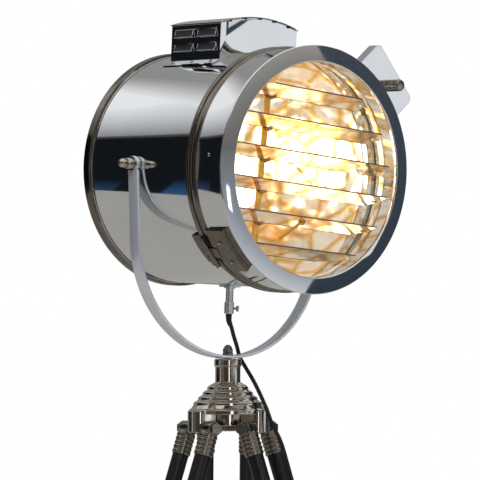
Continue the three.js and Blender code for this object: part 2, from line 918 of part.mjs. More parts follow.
// Stem under the drum: saddle, tube into the drum and the collar that grips the cord
function stemGeometry() {
  const top = -drum.radius + stem.reachIn;
  const collarTop = -drum.radius - stem.drop;
  const bottom = collarTop - stem.collarLength;
  const tube = revolveUp(
    [
      [0, bottom + stem.collarFloor],
      [stem.boreRadius, bottom + stem.collarFloor],
      [stem.boreRadius, top],
      [stem.radius, top],
      [stem.radius, collarTop + overrun / 2],
      [stem.collarRadius, collarTop],
      [stem.collarRadius, bottom + overrun / 2],
      [stem.collarRadius - overrun / 2, bottom],
      [0, bottom],
    ],
    smallFacets,
  ).translate(0, -stem.back, 0);
  const saddle = curvedPlate(
    drum.radius + seatGap,
    drum.radius + stem.saddleThick,
    -90 * degree - stem.saddleAngle / 2,
    -90 * degree + stem.saddleAngle / 2,
    -stem.back - stem.saddleHalf,
    -stem.back + stem.saddleHalf,
    shortArcSteps,
  );
  const middle = bottom + stemScrew.up;
  const direction = [Math.cos(stemScrew.turn), Math.sin(stemScrew.turn)];
  const hole = rod(
    [0, -stem.back, middle],
    [2 * stem.collarRadius * direction[0], -stem.back + 2 * stem.collarRadius * direction[1], middle],
    stemScrew.shankRadius + runGap,
  );
  const bore = rod(
    [0, -stem.back, -drum.radius - 2 * stem.saddleThick],
    [0, -stem.back, -drum.radius / 2],
    stem.boreRadius,
  );
  return cut(join(tube, cut(saddle, bore)), hole);
}

function stemScrewGeometry() {
  const headAt = stem.collarRadius + stemScrew.standOff;
  return join(
    rod([stem.boreRadius + runGap, 0, 0], [headAt + overrun / 2, 0, 0], stemScrew.shankRadius),
    rod([headAt, 0, 0], [headAt + stemScrew.headThick, 0, 0], stemScrew.headRadius),
  );
}

function holderGeometry() {
  const foot = -drum.radius + stem.reachIn + seatGap;
  const skirtTop = foot + holder.shoulder + holder.skirt;
  const top = skirtTop + holder.rim;
  const bore = bulb.baseRadius + 2 * runGap;
  return revolveUp(
    [
      [0, foot],
      [holder.baseRadius, foot],
      [holder.radius, foot + holder.shoulder],
      [holder.radius, skirtTop],
      [holder.rimRadius, skirtTop],
      [holder.rimRadius, top],
      [bore, top],
      [bore, top - holder.boreDepth],
      [0, top - holder.boreDepth],
    ],
    poleFacets,
  );
}

// Globe bulb, a thin glass shell open at its base
function bulbGeometry() {
  const holderTop = -drum.radius + stem.reachIn + seatGap + holder.shoulder + holder.skirt + holder.rim;
  const base = holderTop - holder.boreDepth + seatGap;
  const centre = base + bulb.globeRise;
  const outer = [
    [bulb.ventRadius, base],
    [bulb.baseRadius, base],
    [bulb.baseRadius, base + bulb.baseLength],
  ];
  const inner = [
    [bulb.ventRadius, base + bulb.wall],
    [bulb.baseRadius - bulb.wall, base + bulb.wall],
    [bulb.baseRadius - bulb.wall, base + bulb.baseLength],
  ];
  const first = -Math.acos(bulb.neckRadius / bulb.globeRadius);
  for (let i = 0; i <= bulb.steps; i += 1) {
    const angle = first + (i / bulb.steps) * (90 * degree - first);
    outer.push([bulb.globeRadius * Math.cos(angle), centre + bulb.globeRadius * Math.sin(angle)]);
    const within = bulb.globeRadius - bulb.wall;
    inner.push([within * Math.cos(angle), centre + within * Math.sin(angle)]);
  }
  outer[outer.length - 1][0] = 0;
  inner[inner.length - 1][0] = 0;
  return revolveUp([...inner.reverse(), ...outer], poleFacets);
}

function bowlGeometry() {
  const rim = (drum.radius - drum.wall) * Math.cos(Math.PI / drumFacets) - seatGap;
  const outer = [];
  const inner = [];
  for (let i = 0; i <= bowl.steps; i += 1) {
    const angle = (i / bowl.steps) * 90 * degree;
    const within = [rim - bowl.wall, bowl.depth - bowl.wall];
    outer.push([rim * Math.cos(angle), -bowl.seat + bowl.depth * Math.sin(angle)]);
    inner.push([within[0] * Math.cos(angle), -bowl.seat + within[1] * Math.sin(angle)]);
  }
  outer[bowl.steps][0] = 0;
  inner[bowl.steps][0] = 0;
  const hole = rod([0, -stem.back, -drum.radius], [0, -stem.back, -drum.radius / 2], bowl.stemHole);
  return cut(revolve([...inner.reverse(), ...outer], bowlFacets), hole);
}

// Hood: spigot in the drum's mouth, rear bead, wall and rolled bezel
function hoodShellGeometry() {
  const spigot = drum.radius - drum.wall - hood.spigotGap;
  const bead = [hood.beadStart, hood.beadStart + hood.beadWidth];
  const inside = hood.radius - hood.wall;
  const round = drum.beadRound;
  const face = hood.bezelFront - hood.bezelBack;
  const profile = [
    [spigot - hood.spigotWall, -drum.parting + hood.spigotDepth],
    [spigot, -drum.parting + hood.spigotDepth],
    [spigot, -drum.parting - seatGap],
    [drum.neckRadius, -drum.parting - seatGap],
    [drum.neckRadius, -bead[0] + round / 2],
    [drum.beadRadius - round, -bead[0]],
    [drum.beadRadius, -bead[0] - round],
    [drum.beadRadius, -bead[1] + round],
    [drum.beadRadius - round, -bead[1]],
    [hood.radius, -bead[1] - round / 2],
    [hood.radius, -hood.bezelBack + round / 2],
    [hood.bezelRadius, -hood.bezelBack],
    [hood.bezelRadius - round, -hood.bezelBack - round],
    [hood.openRadius + round, -hood.bezelFront],
    [hood.openRadius, -hood.bezelFront + round],
    [hood.openRadius, -hood.bezelFront + hood.lip],
    [hood.openRadius + hood.wall, -hood.bezelFront + hood.lip],
    [hood.openRadius + hood.wall, -hood.bezelFront + round + hood.wall],
    [inside, -hood.bezelFront + face],
    [inside, -bead[0] - round],
    [spigot - hood.spigotWall, -drum.parting - 2 * hood.wall],
  ];
  return revolve([...profile, profile[0]], drumFacets);
}

// Ring inside the hood that carries the shutter pins, with four tabs to the hood's wall
function slatHeight(number) {
  return slat.topHeight - number * slat.pitch;
}

function shutterRingGeometry() {
  const front = -shutterRing.back - shutterRing.width;
  const half = shutterRing.tabWidth / 2;
  const ring = revolve(
    [
      [shutterRing.inner, -shutterRing.back],
      [shutterRing.outer, -shutterRing.back],
      [shutterRing.outer, front],
      [shutterRing.inner, front],
      [shutterRing.inner, -shutterRing.back],
    ],
    ringFacets,
  );
  const reach = (hood.radius - hood.wall) * Math.cos(Math.PI / drumFacets) - seatGap;
  const tabs = [0, 1, 2, 3].map((quarter) =>
    turnTo(
      block([-half, half], [front, -shutterRing.back], [shutterRing.inner + overrun / 2, reach]),
      quarter * 90 * degree,
    ),
  );
  const bores = [];
  for (let i = 0; i < slat.count; i += 1) {
    const wide = shutterRing.outer + overrun;
    bores.push(
      rod(
        [-wide, -slat.pivotBack, slatHeight(i)],
        [wide, -slat.pivotBack, slatHeight(i)],
        slat.pinRadius + runGap,
        pinFacets,
      ),
    );
  }
  return cut(join(ring, ...tabs), ...bores);
}

// Half length of a blade at one place across its width: it stays inside the ring when the shutter is shut
function bladeHalf(height, forward) {
  const outwards = Math.max(Math.sign(height) * forward, 0);
  return Math.sqrt(shutterRing.inner ** 2 - (Math.abs(height) + outwards) ** 2) - slat.endGap;
}

function slatGeometry(number) {
  const height = slatHeight(number);
  const half = slat.width / 2;
  const outline = [];
  for (let i = 0; i <= slat.endSteps; i += 1) {
    const forward = -half + (i / slat.endSteps) * slat.width;
    outline.push([bladeHalf(height, forward), -forward]);
  }
  for (let i = slat.endSteps; i >= 0; i -= 1) {
    const forward = -half + (i / slat.endSteps) * slat.width;
    outline.push([-bladeHalf(height, forward), -forward]);
  }
  const shape = new THREE.Shape(outline.map(([x, y]) => new THREE.Vector2(x, y)));
  const blade = new THREE.ExtrudeGeometry(shape, { depth: slat.thick, bevelEnabled: false });
  blade.translate(0, 0, -slat.thick / 2);
  const root = bladeHalf(height, 0) - slat.pinLap;
  const tip = Math.sqrt(shutterRing.outer ** 2 - height ** 2) + slat.pinPast;
  const pins = [-1, 1].map((side) => rod([side * root, 0, 0], [side * tip, 0, 0], slat.pinRadius, pinFacets));
  const earAt = tieBar.across + tieBar.width / 2 + runGap;
  const pinAt = half + ear.reach;
  const earRadius = ear.radius;
  const tab = join(
    block([earAt, earAt + ear.thick], [half - ear.root, pinAt], [-earRadius, earRadius]),
    rod([earAt, pinAt, 0], [earAt + ear.thick, pinAt, 0], earRadius, pinFacets),
  );
  const bore = rod(
    [earAt - overrun, pinAt, 0],
    [earAt + ear.thick + overrun, pinAt, 0],
    tieBar.pinRadius + ear.boreGap,
    pinFacets,
  );
  return join(blade, ...pins, cut(tab, bore));
}

// Tie bar behind the blades, with a pin into each blade's ear, drawn in the shutter's frame
function tieBarGeometry() {
  const reach = slat.width / 2 + ear.reach;
  const y = -slat.pivotBack + reach * Math.cos(slat.tilt);
  const drop = reach * Math.sin(slat.tilt);
  const pins = [];
  for (let i = 0; i < slat.count; i += 1) {
    const z = slatHeight(i) - drop;
    const end = tieBar.across + tieBar.width / 2 + runGap + ear.thick + tieBar.pinPast;
    pins.push(rod([tieBar.across, y, z], [end, y, z], tieBar.pinRadius, pinFacets));
  }
  const bar = block(
    [tieBar.across - tieBar.width / 2, tieBar.across + tieBar.width / 2],
    [y - tieBar.thick / 2, y + tieBar.thick / 2],
    [slatHeight(slat.count - 1) - drop - tieBar.past, slatHeight(0) - drop + tieBar.past],
  );
  return join(bar, ...pins);
}

// Lever: a ball under the blade's front edge and a rod to pull
function leverGeometry() {
  const under = -slat.thick / 2 - seatGap - lever.ballRadius;
  const ball = new THREE.SphereGeometry(lever.ballRadius, smallFacets, smallFacets / 2);
  const start = [lever.across, -lever.forward, under];
  const end = [lever.across + lever.rodAcross, -lever.forward + lever.rodBack, under - lever.rodDrop];
  return join(ball.translate(...start), rod(start, end, lever.rodRadius));
}

// Latch box on the hood, its foot cut to the hood's curve, drawn above the Y axis
function latchBoxGeometry() {
  const half = latch.width / 2;
  const low = hood.radius / 2;
  const shape = new THREE.Shape();
  shape.moveTo(-half, low);
  shape.lineTo(half, low);
  const bend = latch.reach - latch.corner;
  shape.absarc(half - latch.corner, bend, latch.corner, 0, 90 * degree, false);
  shape.absarc(-half + latch.corner, bend, latch.corner, 90 * degree, 180 * degree, false);
  shape.closePath();
  const box = slab(shape, -latch.front, -latch.front + latch.thick, smallFacets / 2);
  const tongueHalf = latch.tongueWidth / 2;
  const over = drum.beadRadius + 2 * seatGap;
  const tongue = block(
    [-tongueHalf, tongueHalf],
    [-latch.front + latch.thick - overrun, -latch.tongueEnd],
    [over, over + latch.tongueThick],
  );
  const wall = rod(
    [0, -latch.front - overrun, 0],
    [0, -latch.front + latch.thick + overrun, 0],
    hood.radius + seatGap,
    2 * drumFacets,
  );
  return turnTo(join(cut(box, wall), tongue), latch.angle);
}

function latchKnobGeometry() {
  const grip = fluted(latchKnob.radius, latchKnob.fluteDepth, latchKnob.flutes, latchKnob.length);
  return grip.rotateX(90 * degree);
}

// Hood side of the hinge: a curved plate on the hood, a link and the middle knuckle
function hingePlateGeometry() {
  const barrelAt = drum.beadRadius + hinge.barrelOut;
  const base = hood.radius + seatGap;
  const beadEnd = hood.beadStart + hood.beadWidth + drum.beadRound;
  const plate = curvedPlate(
    base,
    base + hinge.plateThick,
    90 * degree - hinge.plateHalf,
    90 * degree + hinge.plateHalf,
    -hinge.plateFront,
    -beadEnd,
  );
  const across = [-hinge.knuckleHalf, hinge.knuckleHalf];
  const under = drum.beadRadius + 2 * seatGap;
  const link = block(
    across,
    [-beadEnd - 2 * hinge.linkThick, -drum.parting],
    [under, barrelAt - hinge.barrelRadius + hinge.linkThick],
  );
  const knuckle = rod(
    [across[0], -drum.parting, barrelAt],
    [across[1], -drum.parting, barrelAt],
    hinge.barrelRadius,
  );
  const bore = rod(
    [across[0] - overrun, -drum.parting, barrelAt],
    [across[1] + overrun, -drum.parting, barrelAt],
    hinge.pinRadius + runGap,
  );
  const clearOfDrum = block(
    [across[0] - overrun, across[1] + overrun],
    [-drum.parting, -drum.parting + 2 * hinge.barrelRadius],
    [drum.radius, barrelAt - hinge.barrelRadius / 2],
  );
  return turnTo(cut(join(plate, link, knuckle), bore, clearOfDrum), hinge.angle);
}

// A tube of flat sides along points that lie nearly level
function levelTube(points, radius, sides) {
  const up = new THREE.Vector3(0, 0, 1);
  const position = [];
  const index = [];
  points.forEach((point, i) => {
    const before = points[Math.max(i - 1, 0)];
    const after = points[Math.min(i + 1, points.length - 1)];
    const along = after.clone().sub(before).normalize();
    const side = along.clone().cross(up).normalize();
    const over = side.clone().cross(along);
    for (let k = 0; k < sides; k += 1) {
      const angle = (k / sides) * 360 * degree;
      const place = point
        .clone()
        .addScaledVector(side, radius * Math.cos(angle))
        .addScaledVector(over, radius * Math.sin(angle));
      position.push(...place.toArray());
      if (i < points.length - 1) {
        const [a, b] = [i * sides + k, i * sides + ((k + 1) % sides)];
        index.push(a, b, a + sides, b, b + sides, a + sides);
      }
    }
  });
  const last = (points.length - 1) * sides;
  for (let k = 1; k < sides - 1; k += 1) {
    index.push(0, k + 1, k, last, last + k, last + k + 1);
  }
  const geometry = new THREE.BufferGeometry();
  geometry.setAttribute('position', new THREE.BufferAttribute(new Float32Array(position), 3));
  geometry.setIndex(index);
  return geometry;
}

// Coil: the cord spirals in on the floor, climbs a layer and spirals out again
function coilPoints() {
  const turns = 2 * coil.turnsIn;
  const steps = turns * coil.stepsPerTurn;
  const points = [];
  for (let i = 0; i <= steps; i += 1) {
    const turn = i / coil.stepsPerTurn;
    const inwards = coil.turnsIn - Math.abs(turn - coil.turnsIn);
    const climb = Math.min(Math.max(2 * (turn - coil.turnsIn) + 1 / 2, 0), 1);
    const radius = coil.outerRadius - coil.pitch * inwards;
    const angle = turn * 360 * degree;
    points.push(
      new THREE.Vector3(
        coil.x + radius * Math.cos(angle),
        coil.y + radius * Math.sin(angle),
        cord.lift + climb * coil.layerRise,
      ),
    );
  }
  const straight = 2 * cord.radius;
  points.unshift(points[0].clone().add(new THREE.Vector3(0, -straight, 0)));
  points.push(points[points.length - 1].clone().add(new THREE.Vector3(0, coil.tail, 0)));
  return points;
}

function coilGap(points) {
  const apart = Math.round(coil.stepsPerTurn / 3);
  let least = Infinity;
  for (let i = 0; i < points.length; i += 1) {
    for (let j = i + apart; j < points.length - 1; j += 1) {
      for (let part = 0; part < 4; part += 1) {
        const between = points[j].clone().lerp(points[j + 1], part / 4);
        least = Math.min(least, points[i].distanceTo(between));
      }
    }
  }
  return least - 2 * cord.radius;
}

// Cord's free run from the stem's collar to the coil
function stemEnd() {
  const below = drum.radius + stem.drop + stem.collarLength;
  return new THREE.Vector3(0, -stem.back, -below).applyAxisAngle(new THREE.Vector3(1, 0, 0), headTilt);
}

function cordCurve(coilStart) {
  const down = new THREE.Vector3(0, 0, -1).applyAxisAngle(new THREE.Vector3(1, 0, 0), headTilt);
  const start = stemEnd().add(new THREE.Vector3(0, 0, pivotHeight)).addScaledVector(down, seatGap);
  const route = cordRoute.map((place) => new THREE.Vector3(...place));
  const end = coilStart.clone().add(new THREE.Vector3(0, -seatGap, 0));
  const before = end.clone().add(new THREE.Vector3(0, -2 * cord.radius, 0));
  return new THREE.CatmullRomCurve3([start, ...route, before, end], false, 'centripetal');
}

function cordRunGeometry(coilStart) {
  const section = new THREE.Shape();
  for (let i = 0; i < cord.sides; i += 1) {
    const angle = ((i + 1 / 2) / cord.sides) * 360 * degree;
    const place = [cord.radius * Math.cos(angle), cord.radius * Math.sin(angle)];
    if (i) section.lineTo(...place);
    else section.moveTo(...place);
  }
  return new THREE.ExtrudeGeometry(section, { steps: cord.steps, extrudePath: cordCurve(coilStart) });
}

// Plug lying on the floor, drawn from its cord end along +Y
function plugGeometry() {
  const shoulder = plug.neckLength + plug.shoulderShare * (plug.length - plug.neckLength);
  const outline = [
    [-plug.neckRadius, plug.neckLength / 2],
    [plug.neckRadius, plug.neckLength / 2],
    [plug.halfWidth, shoulder],
    [plug.halfWidth, plug.length],
    [-plug.halfWidth, plug.length],
    [-plug.halfWidth, shoulder],
  ];
  const shape = new THREE.Shape(outline.map(([x, y]) => new THREE.Vector2(x, y)));
  const grip = new THREE.ExtrudeGeometry(shape, { depth: 2 * plug.halfThick, bevelEnabled: false });
  grip.translate(0, 0, -plug.halfThick);
  const neck = rod([0, 0, 0], [0, plug.neckLength, 0], plug.neckRadius);
  const pins = [-1, 1].map((side) => {
    const x = (side * plug.pinSpacing) / 2;
    return rod([x, plug.length - overrun, 0], [x, plug.length + plug.pinLength, 0], plug.pinRadius);
  });
  return join(neck, grip, ...pins);
}

// Head: everything that tilts in the yoke
function shutter() {
  const slats = [];
  for (let i = 0; i < slat.count; i += 1) {
    const parts = [piece(`slat_${i + 1}`, slatGeometry(i), finish.reflector)];
    if (i === lever.onSlat) parts.push(piece('slat_lever', leverGeometry(), finish.darkMetal));
    slats.push(at([0, -slat.pivotBack, slatHeight(i)], [-slat.tilt, 0, 0], ...parts));
  }
  return at(
    [0, 0, 0],
    [0, slatRoll, 0],
    piece('shutter_ring', shutterRingGeometry(), finish.chrome),
    piece('tie_bar', tieBarGeometry(), finish.reflector),
    ...slats,
  );
}

function head() {
  const collarMiddle = -drum.radius - stem.drop - stem.collarLength + stemScrew.up;
  const knobOut = latch.reach - latchKnob.fromTop;
  return at(
    [0, 0, pivotHeight],
    [headTilt, 0, 0],
    piece('drum_shell', drumShellGeometry(), finish.chrome),
    piece('vent_box', ventBoxGeometry(), finish.chrome),
    piece('stem', stemGeometry(), finish.chrome),
    at(
      [0, -stem.back, collarMiddle],
      [0, 0, stemScrew.turn],
      piece('stem_screw', stemScrewGeometry(), finish.nickel),
    ),
    at(
      [0, -stem.back, 0],
      [0, 0, 0],
      piece('lamp_holder', holderGeometry(), finish.ceramic),
      piece('bulb', bulbGeometry(), finish.glass),
    ),
    piece('reflector_bowl', bowlGeometry(), finish.reflector),
    piece('pivot_nut_right', pivotNutGeometry(), finish.nickel),
    at([0, 0, 0], [0, 0, 180 * degree], piece('pivot_nut_left', pivotNutGeometry(), finish.nickel)),
    piece('hood_shell', hoodShellGeometry(), finish.chrome),
    piece('latch_box', latchBoxGeometry(), finish.chrome),
    at(
      [0, 0, 0],
      [0, 90 * degree - latch.angle, 0],
      at(
        [latchKnob.offCentre, -latch.front - seatGap, knobOut],
        [0, 0, 0],
        piece('latch_knob', latchKnobGeometry(), finish.darkMetal),
      ),
    ),
    piece('hinge_plate', hingePlateGeometry(), finish.nickel),
    shutter(),
  );
}

function cordPieces() {
  const points = coilPoints();
  console.log(`least gap of the coil to itself: ${coilGap(points).toFixed(2)} mm`);
  console.log(`length of the free run: ${cordCurve(points[0]).getLength().toFixed(0)} mm`);
  const end = points[points.length - 1];
  return [
    piece('cord_run', cordRunGeometry(points[0]), finish.cord),
    piece('cord_coil', levelTube(points, cord.radius, coil.sides), finish.cord),
    at([end.x, end.y + seatGap, end.z], [0, 0, 0], piece('plug', plugGeometry(), finish.cord)),
  ];
}

// The lamp stands with the middle of its outline, seen from above and without the cord, on the origin
const standing = at(
  [0, 0, 0],
  [0, 0, 0],
  at([0, 0, legs.boltHeight], [0, 0, 0], piece('hub', hubGeometry(), finish.nickel)),
  ...legs.azimuths.map((azimuth, i) => leg(i + 1, azimuth)),
  at(
    [0, 0, pivotHeight],
    [0, 0, 0],
    piece('yoke', yokeGeometry(), finish.chrome),
    piece('dome_nut', domeNutGeometry(), finish.nickel),
  ),
  head(),
);
const middle = new THREE.Box3().setFromObject(standing, true).getCenter(new THREE.Vector3());
const lamp = at([-middle.x, -middle.y, 0], [0, 0, 0], standing, ...cordPieces());
console.log(`tripod axis at x ${(-middle.x).toFixed(3)}, y ${(-middle.y).toFixed(3)}`);
console.log(`pivot height ${pivotHeight.toFixed(3)} mm`);

export default lamp;
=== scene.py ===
import json
import math

import bmesh
import bpy
from mathutils import Matrix, Vector, noise


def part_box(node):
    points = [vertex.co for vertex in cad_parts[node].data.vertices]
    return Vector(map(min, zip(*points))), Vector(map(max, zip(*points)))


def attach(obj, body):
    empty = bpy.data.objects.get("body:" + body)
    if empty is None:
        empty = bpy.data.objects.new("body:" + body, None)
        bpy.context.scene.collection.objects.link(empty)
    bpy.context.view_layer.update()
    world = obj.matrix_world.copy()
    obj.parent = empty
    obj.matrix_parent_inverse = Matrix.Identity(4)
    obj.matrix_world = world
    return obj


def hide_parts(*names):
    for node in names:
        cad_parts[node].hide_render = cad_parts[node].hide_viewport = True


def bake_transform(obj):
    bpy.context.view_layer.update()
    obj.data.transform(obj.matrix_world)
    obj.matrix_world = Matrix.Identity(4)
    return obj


# Looks of a tripod spotlight floor lamp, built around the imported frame. Sizes are millimetres.
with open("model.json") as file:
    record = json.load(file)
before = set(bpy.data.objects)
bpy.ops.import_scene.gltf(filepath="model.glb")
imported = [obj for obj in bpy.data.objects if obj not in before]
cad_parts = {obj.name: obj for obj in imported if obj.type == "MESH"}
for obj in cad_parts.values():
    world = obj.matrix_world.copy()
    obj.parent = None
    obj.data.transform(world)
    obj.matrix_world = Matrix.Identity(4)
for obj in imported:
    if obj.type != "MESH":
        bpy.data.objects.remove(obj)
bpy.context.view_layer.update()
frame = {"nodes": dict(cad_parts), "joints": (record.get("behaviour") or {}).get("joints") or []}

MM = 0.001
TURN = 2 * math.pi
JOINTS = {joint["name"]: joint for joint in frame["joints"]}

# The head tilts about this point; the tripod's axis runs down through it
NOSE_DOWN, SHUTTER_ROLL = 3.45, 4  # degrees
PIVOT = Vector(JOINTS["head_tilt"]["pos_m"])
AXIS = Vector((PIVOT.x, PIVOT.y, 0))
WORLD = Matrix.Identity(4)
STANDING = Matrix.Translation(AXIS)
YOKE = Matrix.Translation(PIVOT)
HEAD = YOKE @ Matrix.Rotation(math.radians(NOSE_DOWN), 4, "X")
SHUTTER = HEAD @ Matrix.Rotation(math.radians(SHUTTER_ROLL), 4, "Y")


def placed(name, data):
    """A new object in the scene."""
    made = bpy.data.objects.new(name, data)
    bpy.context.scene.collection.objects.link(made)
    return made


def look(made, direction):
    """Turns a camera or a lamp to look along a direction."""
    made.rotation_mode = "QUATERNION"
    made.rotation_quaternion = direction.to_track_quat("-Z", "Y")


# Camera at the photograph's place: it looks up a little, from the front left
LOOK_BACK = Vector((-0.6419, -0.7652, -0.0492))
FROM_PIVOT = Vector((-2596.3, -3126.5, -317.7))
LENS, SENSOR, FAR_CLIP = 182.9, 36, 60

camera = placed("camera", bpy.data.cameras.new("camera"))
camera.data.lens = LENS
camera.data.sensor_width = SENSOR
camera.data.clip_end = FAR_CLIP
camera.location = PIVOT + FROM_PIVOT * MM
look(camera, -LOOK_BACK)
bpy.context.scene.camera = camera
bpy.context.scene.view_settings.view_transform = "Standard"


# Colours and nodes
def tint(code):
    """An sRGB hex colour as linear red, green, blue and alpha."""
    parts = [int(code[i : i + 2], 16) / 255 for i in (0, 2, 4)]
    return (*[p / 12.92 if p <= 0.04045 else ((p + 0.055) / 1.055) ** 2.4 for p in parts], 1)


def feed(tree, node, inputs):
    """Gives a node's inputs values, or other nodes' outputs."""
    for name, value in inputs.items():
        if isinstance(value, bpy.types.NodeSocket):
            tree.links.new(value, node.inputs[name])
        else:
            node.inputs[name].default_value = value


def add(tree, kind, inputs=None, **settings):
    """Adds a node with its settings and its inputs."""
    made = tree.nodes.new(kind)
    for name, value in settings.items():
        setattr(made, name, value)
    feed(tree, made, inputs or {})
    return made


def begin(name, colour, metallic, roughness):
    """A material with its shader, its colour and where the pattern is measured from."""
    made = bpy.data.materials.new(name)
    made.use_nodes = True
    tree = made.node_tree
    shader = tree.nodes["Principled BSDF"]
    feed(tree, shader, {"Base Color": tint(colour), "Metallic": metallic, "Roughness": roughness})
    return made, tree, shader, add(tree, "ShaderNodeTexCoord").outputs["Object"]


def per(size):
    """A pattern's scale, so that it repeats about every size millimetres."""
    return 1 / (size * MM)


def clouds(tree, place, size, detail):
    """A cloudy pattern whose clouds are about size millimetres across."""
    made = add(tree, "ShaderNodeTexNoise", {"Vector": place, "Scale": per(size), "Detail": detail})
    return made.outputs["Fac"]


def ranged(tree, value, low, high, new_low, new_high):
    """A value between low and high, spread between two new ends."""
    ends = {"From Min": low, "From Max": high, "To Min": new_low, "To Max": new_high}
    return add(tree, "ShaderNodeMapRange", {"Value": value, **ends}).outputs["Result"]


def mixed(tree, share, colour, shade):
    """A colour between two, by a pattern."""
    both = {"Factor": share, "A": tint(colour), "B": tint(shade)}
    return add(tree, "ShaderNodeMix", both, data_type="RGBA").outputs["Result"]


def summed(tree, one, other, **settings):
    """Two values added."""
    return add(tree, "ShaderNodeMath", {0: one, 1: other}, operation="ADD", **settings).outputs["Value"]


def raised(tree, height, depth, strength=1):
    """A surface raised by a pattern, by up to a depth in millimetres."""
    made = add(tree, "ShaderNodeBump", {"Height": height, "Strength": strength, "Distance": depth * MM})
    return made.outputs["Normal"]


def metal(name, colour, shade, roughness, patch, ripple, depth, stretch=(1, 1, 1)):
    """A metal whose polish wanders between two values over patches, and whose sheet ripples a little."""
    made, tree, shader, place = begin(name, colour, 1, roughness[0])
    laid = add(tree, "ShaderNodeMapping", {"Vector": place, "Scale": stretch}).outputs["Vector"]
    patches = clouds(tree, laid, patch, 5)
    polish = ranged(tree, patches, 0.3, 0.7, *roughness)
    tone = mixed(tree, patches, colour, shade)
    waves = raised(tree, clouds(tree, laid, ripple, 1), depth)
    feed(tree, shader, {"Roughness": polish, "Base Color": tone, "Normal": waves})
    return made


# Polished sheet: buffed to a mirror, so it shows its surroundings with only a faint haze and ripple
polished_sheet = metal("polished aluminium sheet", "e6e8ea", "dcdee1", (0.035, 0.07), 70, 150, 0.16)
# Polished steel bar: buffed along its length, so its reflections are softer
polished_bar = metal("buffed steel bar", "e9ecf0", "dde1e6", (0.3, 0.4), 24, 90, 0.1, (1, 1, 0.4))
# Rolled beads: painted shade, a darker brown metal on the beads beside the bright sheet
bead_shade_metal = metal("rolled bead with painted shade", "8c857d", "5c554e", (0.1, 0.2), 20, 30, 0.08)
# Yoke bar: brushed steel under clear lacquer, so a part of its light is soft and pale
lacquered_bar = metal("lacquered steel bar", "e6ebf3", "d9dfe8", (0.24, 0.32), 24, 90, 0.1, (1, 1, 0.4))
lacquered_bar.node_tree.nodes["Principled BSDF"].inputs["Metallic"].default_value = 0.7
# Plated casting: nickel over a turned casting, warmer and a little less even than the sheet
plated_casting = metal("nickel plated casting", "cfc8bd", "b9b1a5", (0.07, 0.16), 16, 12, 0.04)
# Plated hardware: small turned and pressed parts with the same nickel
plated_hardware = metal("nickel plated steel", "c6c1b8", "aaa59c", (0.12, 0.24), 7, 5, 0.03)
# Hinge plate: rolled steel that was only brushed before plating
brushed_plate = metal("brushed nickel plate", "8b837b", "655e57", (0.26, 0.4), 9, 30, 0.08, (1, 1, 0.2))
# Leg ferrules and bolts: the same nickel, dulled by handling
aged_nickel = metal("aged nickel plate", "a39c92", "6f6860", (0.14, 0.28), 6, 5, 0.04)
# Painted shade: a dark metal with a dull shine for the screw slots, the vent's louvred sides and the notches in
# its lip
painted_shade_metal = metal("dark metal for painted shade", "4d4a47", "2c2a29", (0.3, 0.45), 4, 3, 0.03)
# Brass screw base of the bulb
drawn_brass = metal("drawn brass", "d8b86a", "b8954b", (0.18, 0.3), 6, 4, 0.03)


def hammered(name, colour, shade, roughness, dimple, depth, glow):
    """Bright sheet near the bulb, with dimples and creases; its glow is painted light that stands in for the
    bulb's light on it.
    """
    fold, facet, crease = 2.6 * dimple, 2.4 * dimple, 0.15  # the crease is a share of a facet
    made, tree, shader, place = begin(name, colour, 1, roughness)
    made.cycles.emission_sampling = "NONE"
    round_cells = {"Vector": place, "Scale": per(dimple), "Smoothness": 0.6}
    cells = add(tree, "ShaderNodeTexVoronoi", round_cells, feature="SMOOTH_F1")
    flat_cells = {"Vector": place, "Scale": per(facet)}
    facets = add(tree, "ShaderNodeTexVoronoi", flat_cells, feature="DISTANCE_TO_EDGE")
    tone = mixed(tree, ranged(tree, facets.outputs["Distance"], 0, crease, 1, 0), colour, shade)
    height = summed(tree, cells.outputs["Distance"], clouds(tree, place, fold, 2))
    feed(
        tree,
        shader,
        {
            "Base Color": tone,
            "Emission Color": tone,
            "Emission Strength": glow,
            "Normal": raised(tree, height, depth),
        },
    )
    return made


# Reflector: dimples scatter the bulb's light, and the creases between facets are gold and glow gold; the glow is
# painted light
reflector_sheet = hammered("hammered reflector sheet", "f3f1ec", "dcb25c", 0.17, 22, 1.8, 0.24)
# Blades: flatter, with wider dimples, so that they shine in long warm streaks, partly from their weaker painted
# glow
blade_sheet = hammered("shutter blade with painted glow", "f1e9d8", "d6a547", 0.16, 30, 0.6, 0.1)
# Hems of the blades: rolled over and burnished, so they draw a grey line at the front and a brown one behind
front_hem = metal("burnished blade hem", "8f8995", "746d78", (0.4, 0.5), 10, 8, 0.03)
back_hem = metal("heat-browned blade hem", "80561f", "553814", (0.4, 0.5), 10, 8, 0.03)
# Tie bar: brass strip, browned by the lamp
brass_strip = metal("heat-browned brass strip", "f6bd62", "cc9238", (0.2, 0.3), 12, 10, 0.05)


def lacquered_wood():
    """Turned beech under black satin lacquer: the grain shows only as fine lengthwise ripples."""
    made, tree, shader, place = begin("black lacquered beech", "0c0c0d", 0, 0.34)
    across, lengthwise = per(3), per(90)
    grain = add(tree, "ShaderNodeMapping", {"Vector": place, "Scale": (across, across, lengthwise)})
    laid = {"Vector": grain.outputs["Vector"], "Scale": 1, "Detail": 4}
    fibres = add(tree, "ShaderNodeTexNoise", laid).outputs["Fac"]
    tone = mixed(tree, fibres, "070708", "131315")
    satin = ranged(tree, fibres, 0, 1, 0.26, 0.42)
    feed(tree, shader, {"Base Color": tone, "Roughness": satin, "Normal": raised(tree, fibres, 0.12, 0.5)})
    return made


def moulded(name, colour, shade, roughness, grit, depth):
    """A moulded skin with the fine grit of its mould."""
    made, tree, shader, place = begin(name, colour, 0, roughness)
    skin = clouds(tree, place, grit, 3)
    feed(tree, shader, {"Base Color": mixed(tree, skin, colour, shade), "Normal": raised(tree, skin, depth, 0.6)})
    return made


# Poles: deep black with a soft sheen along the grain
black_lacquer = lacquered_wood()
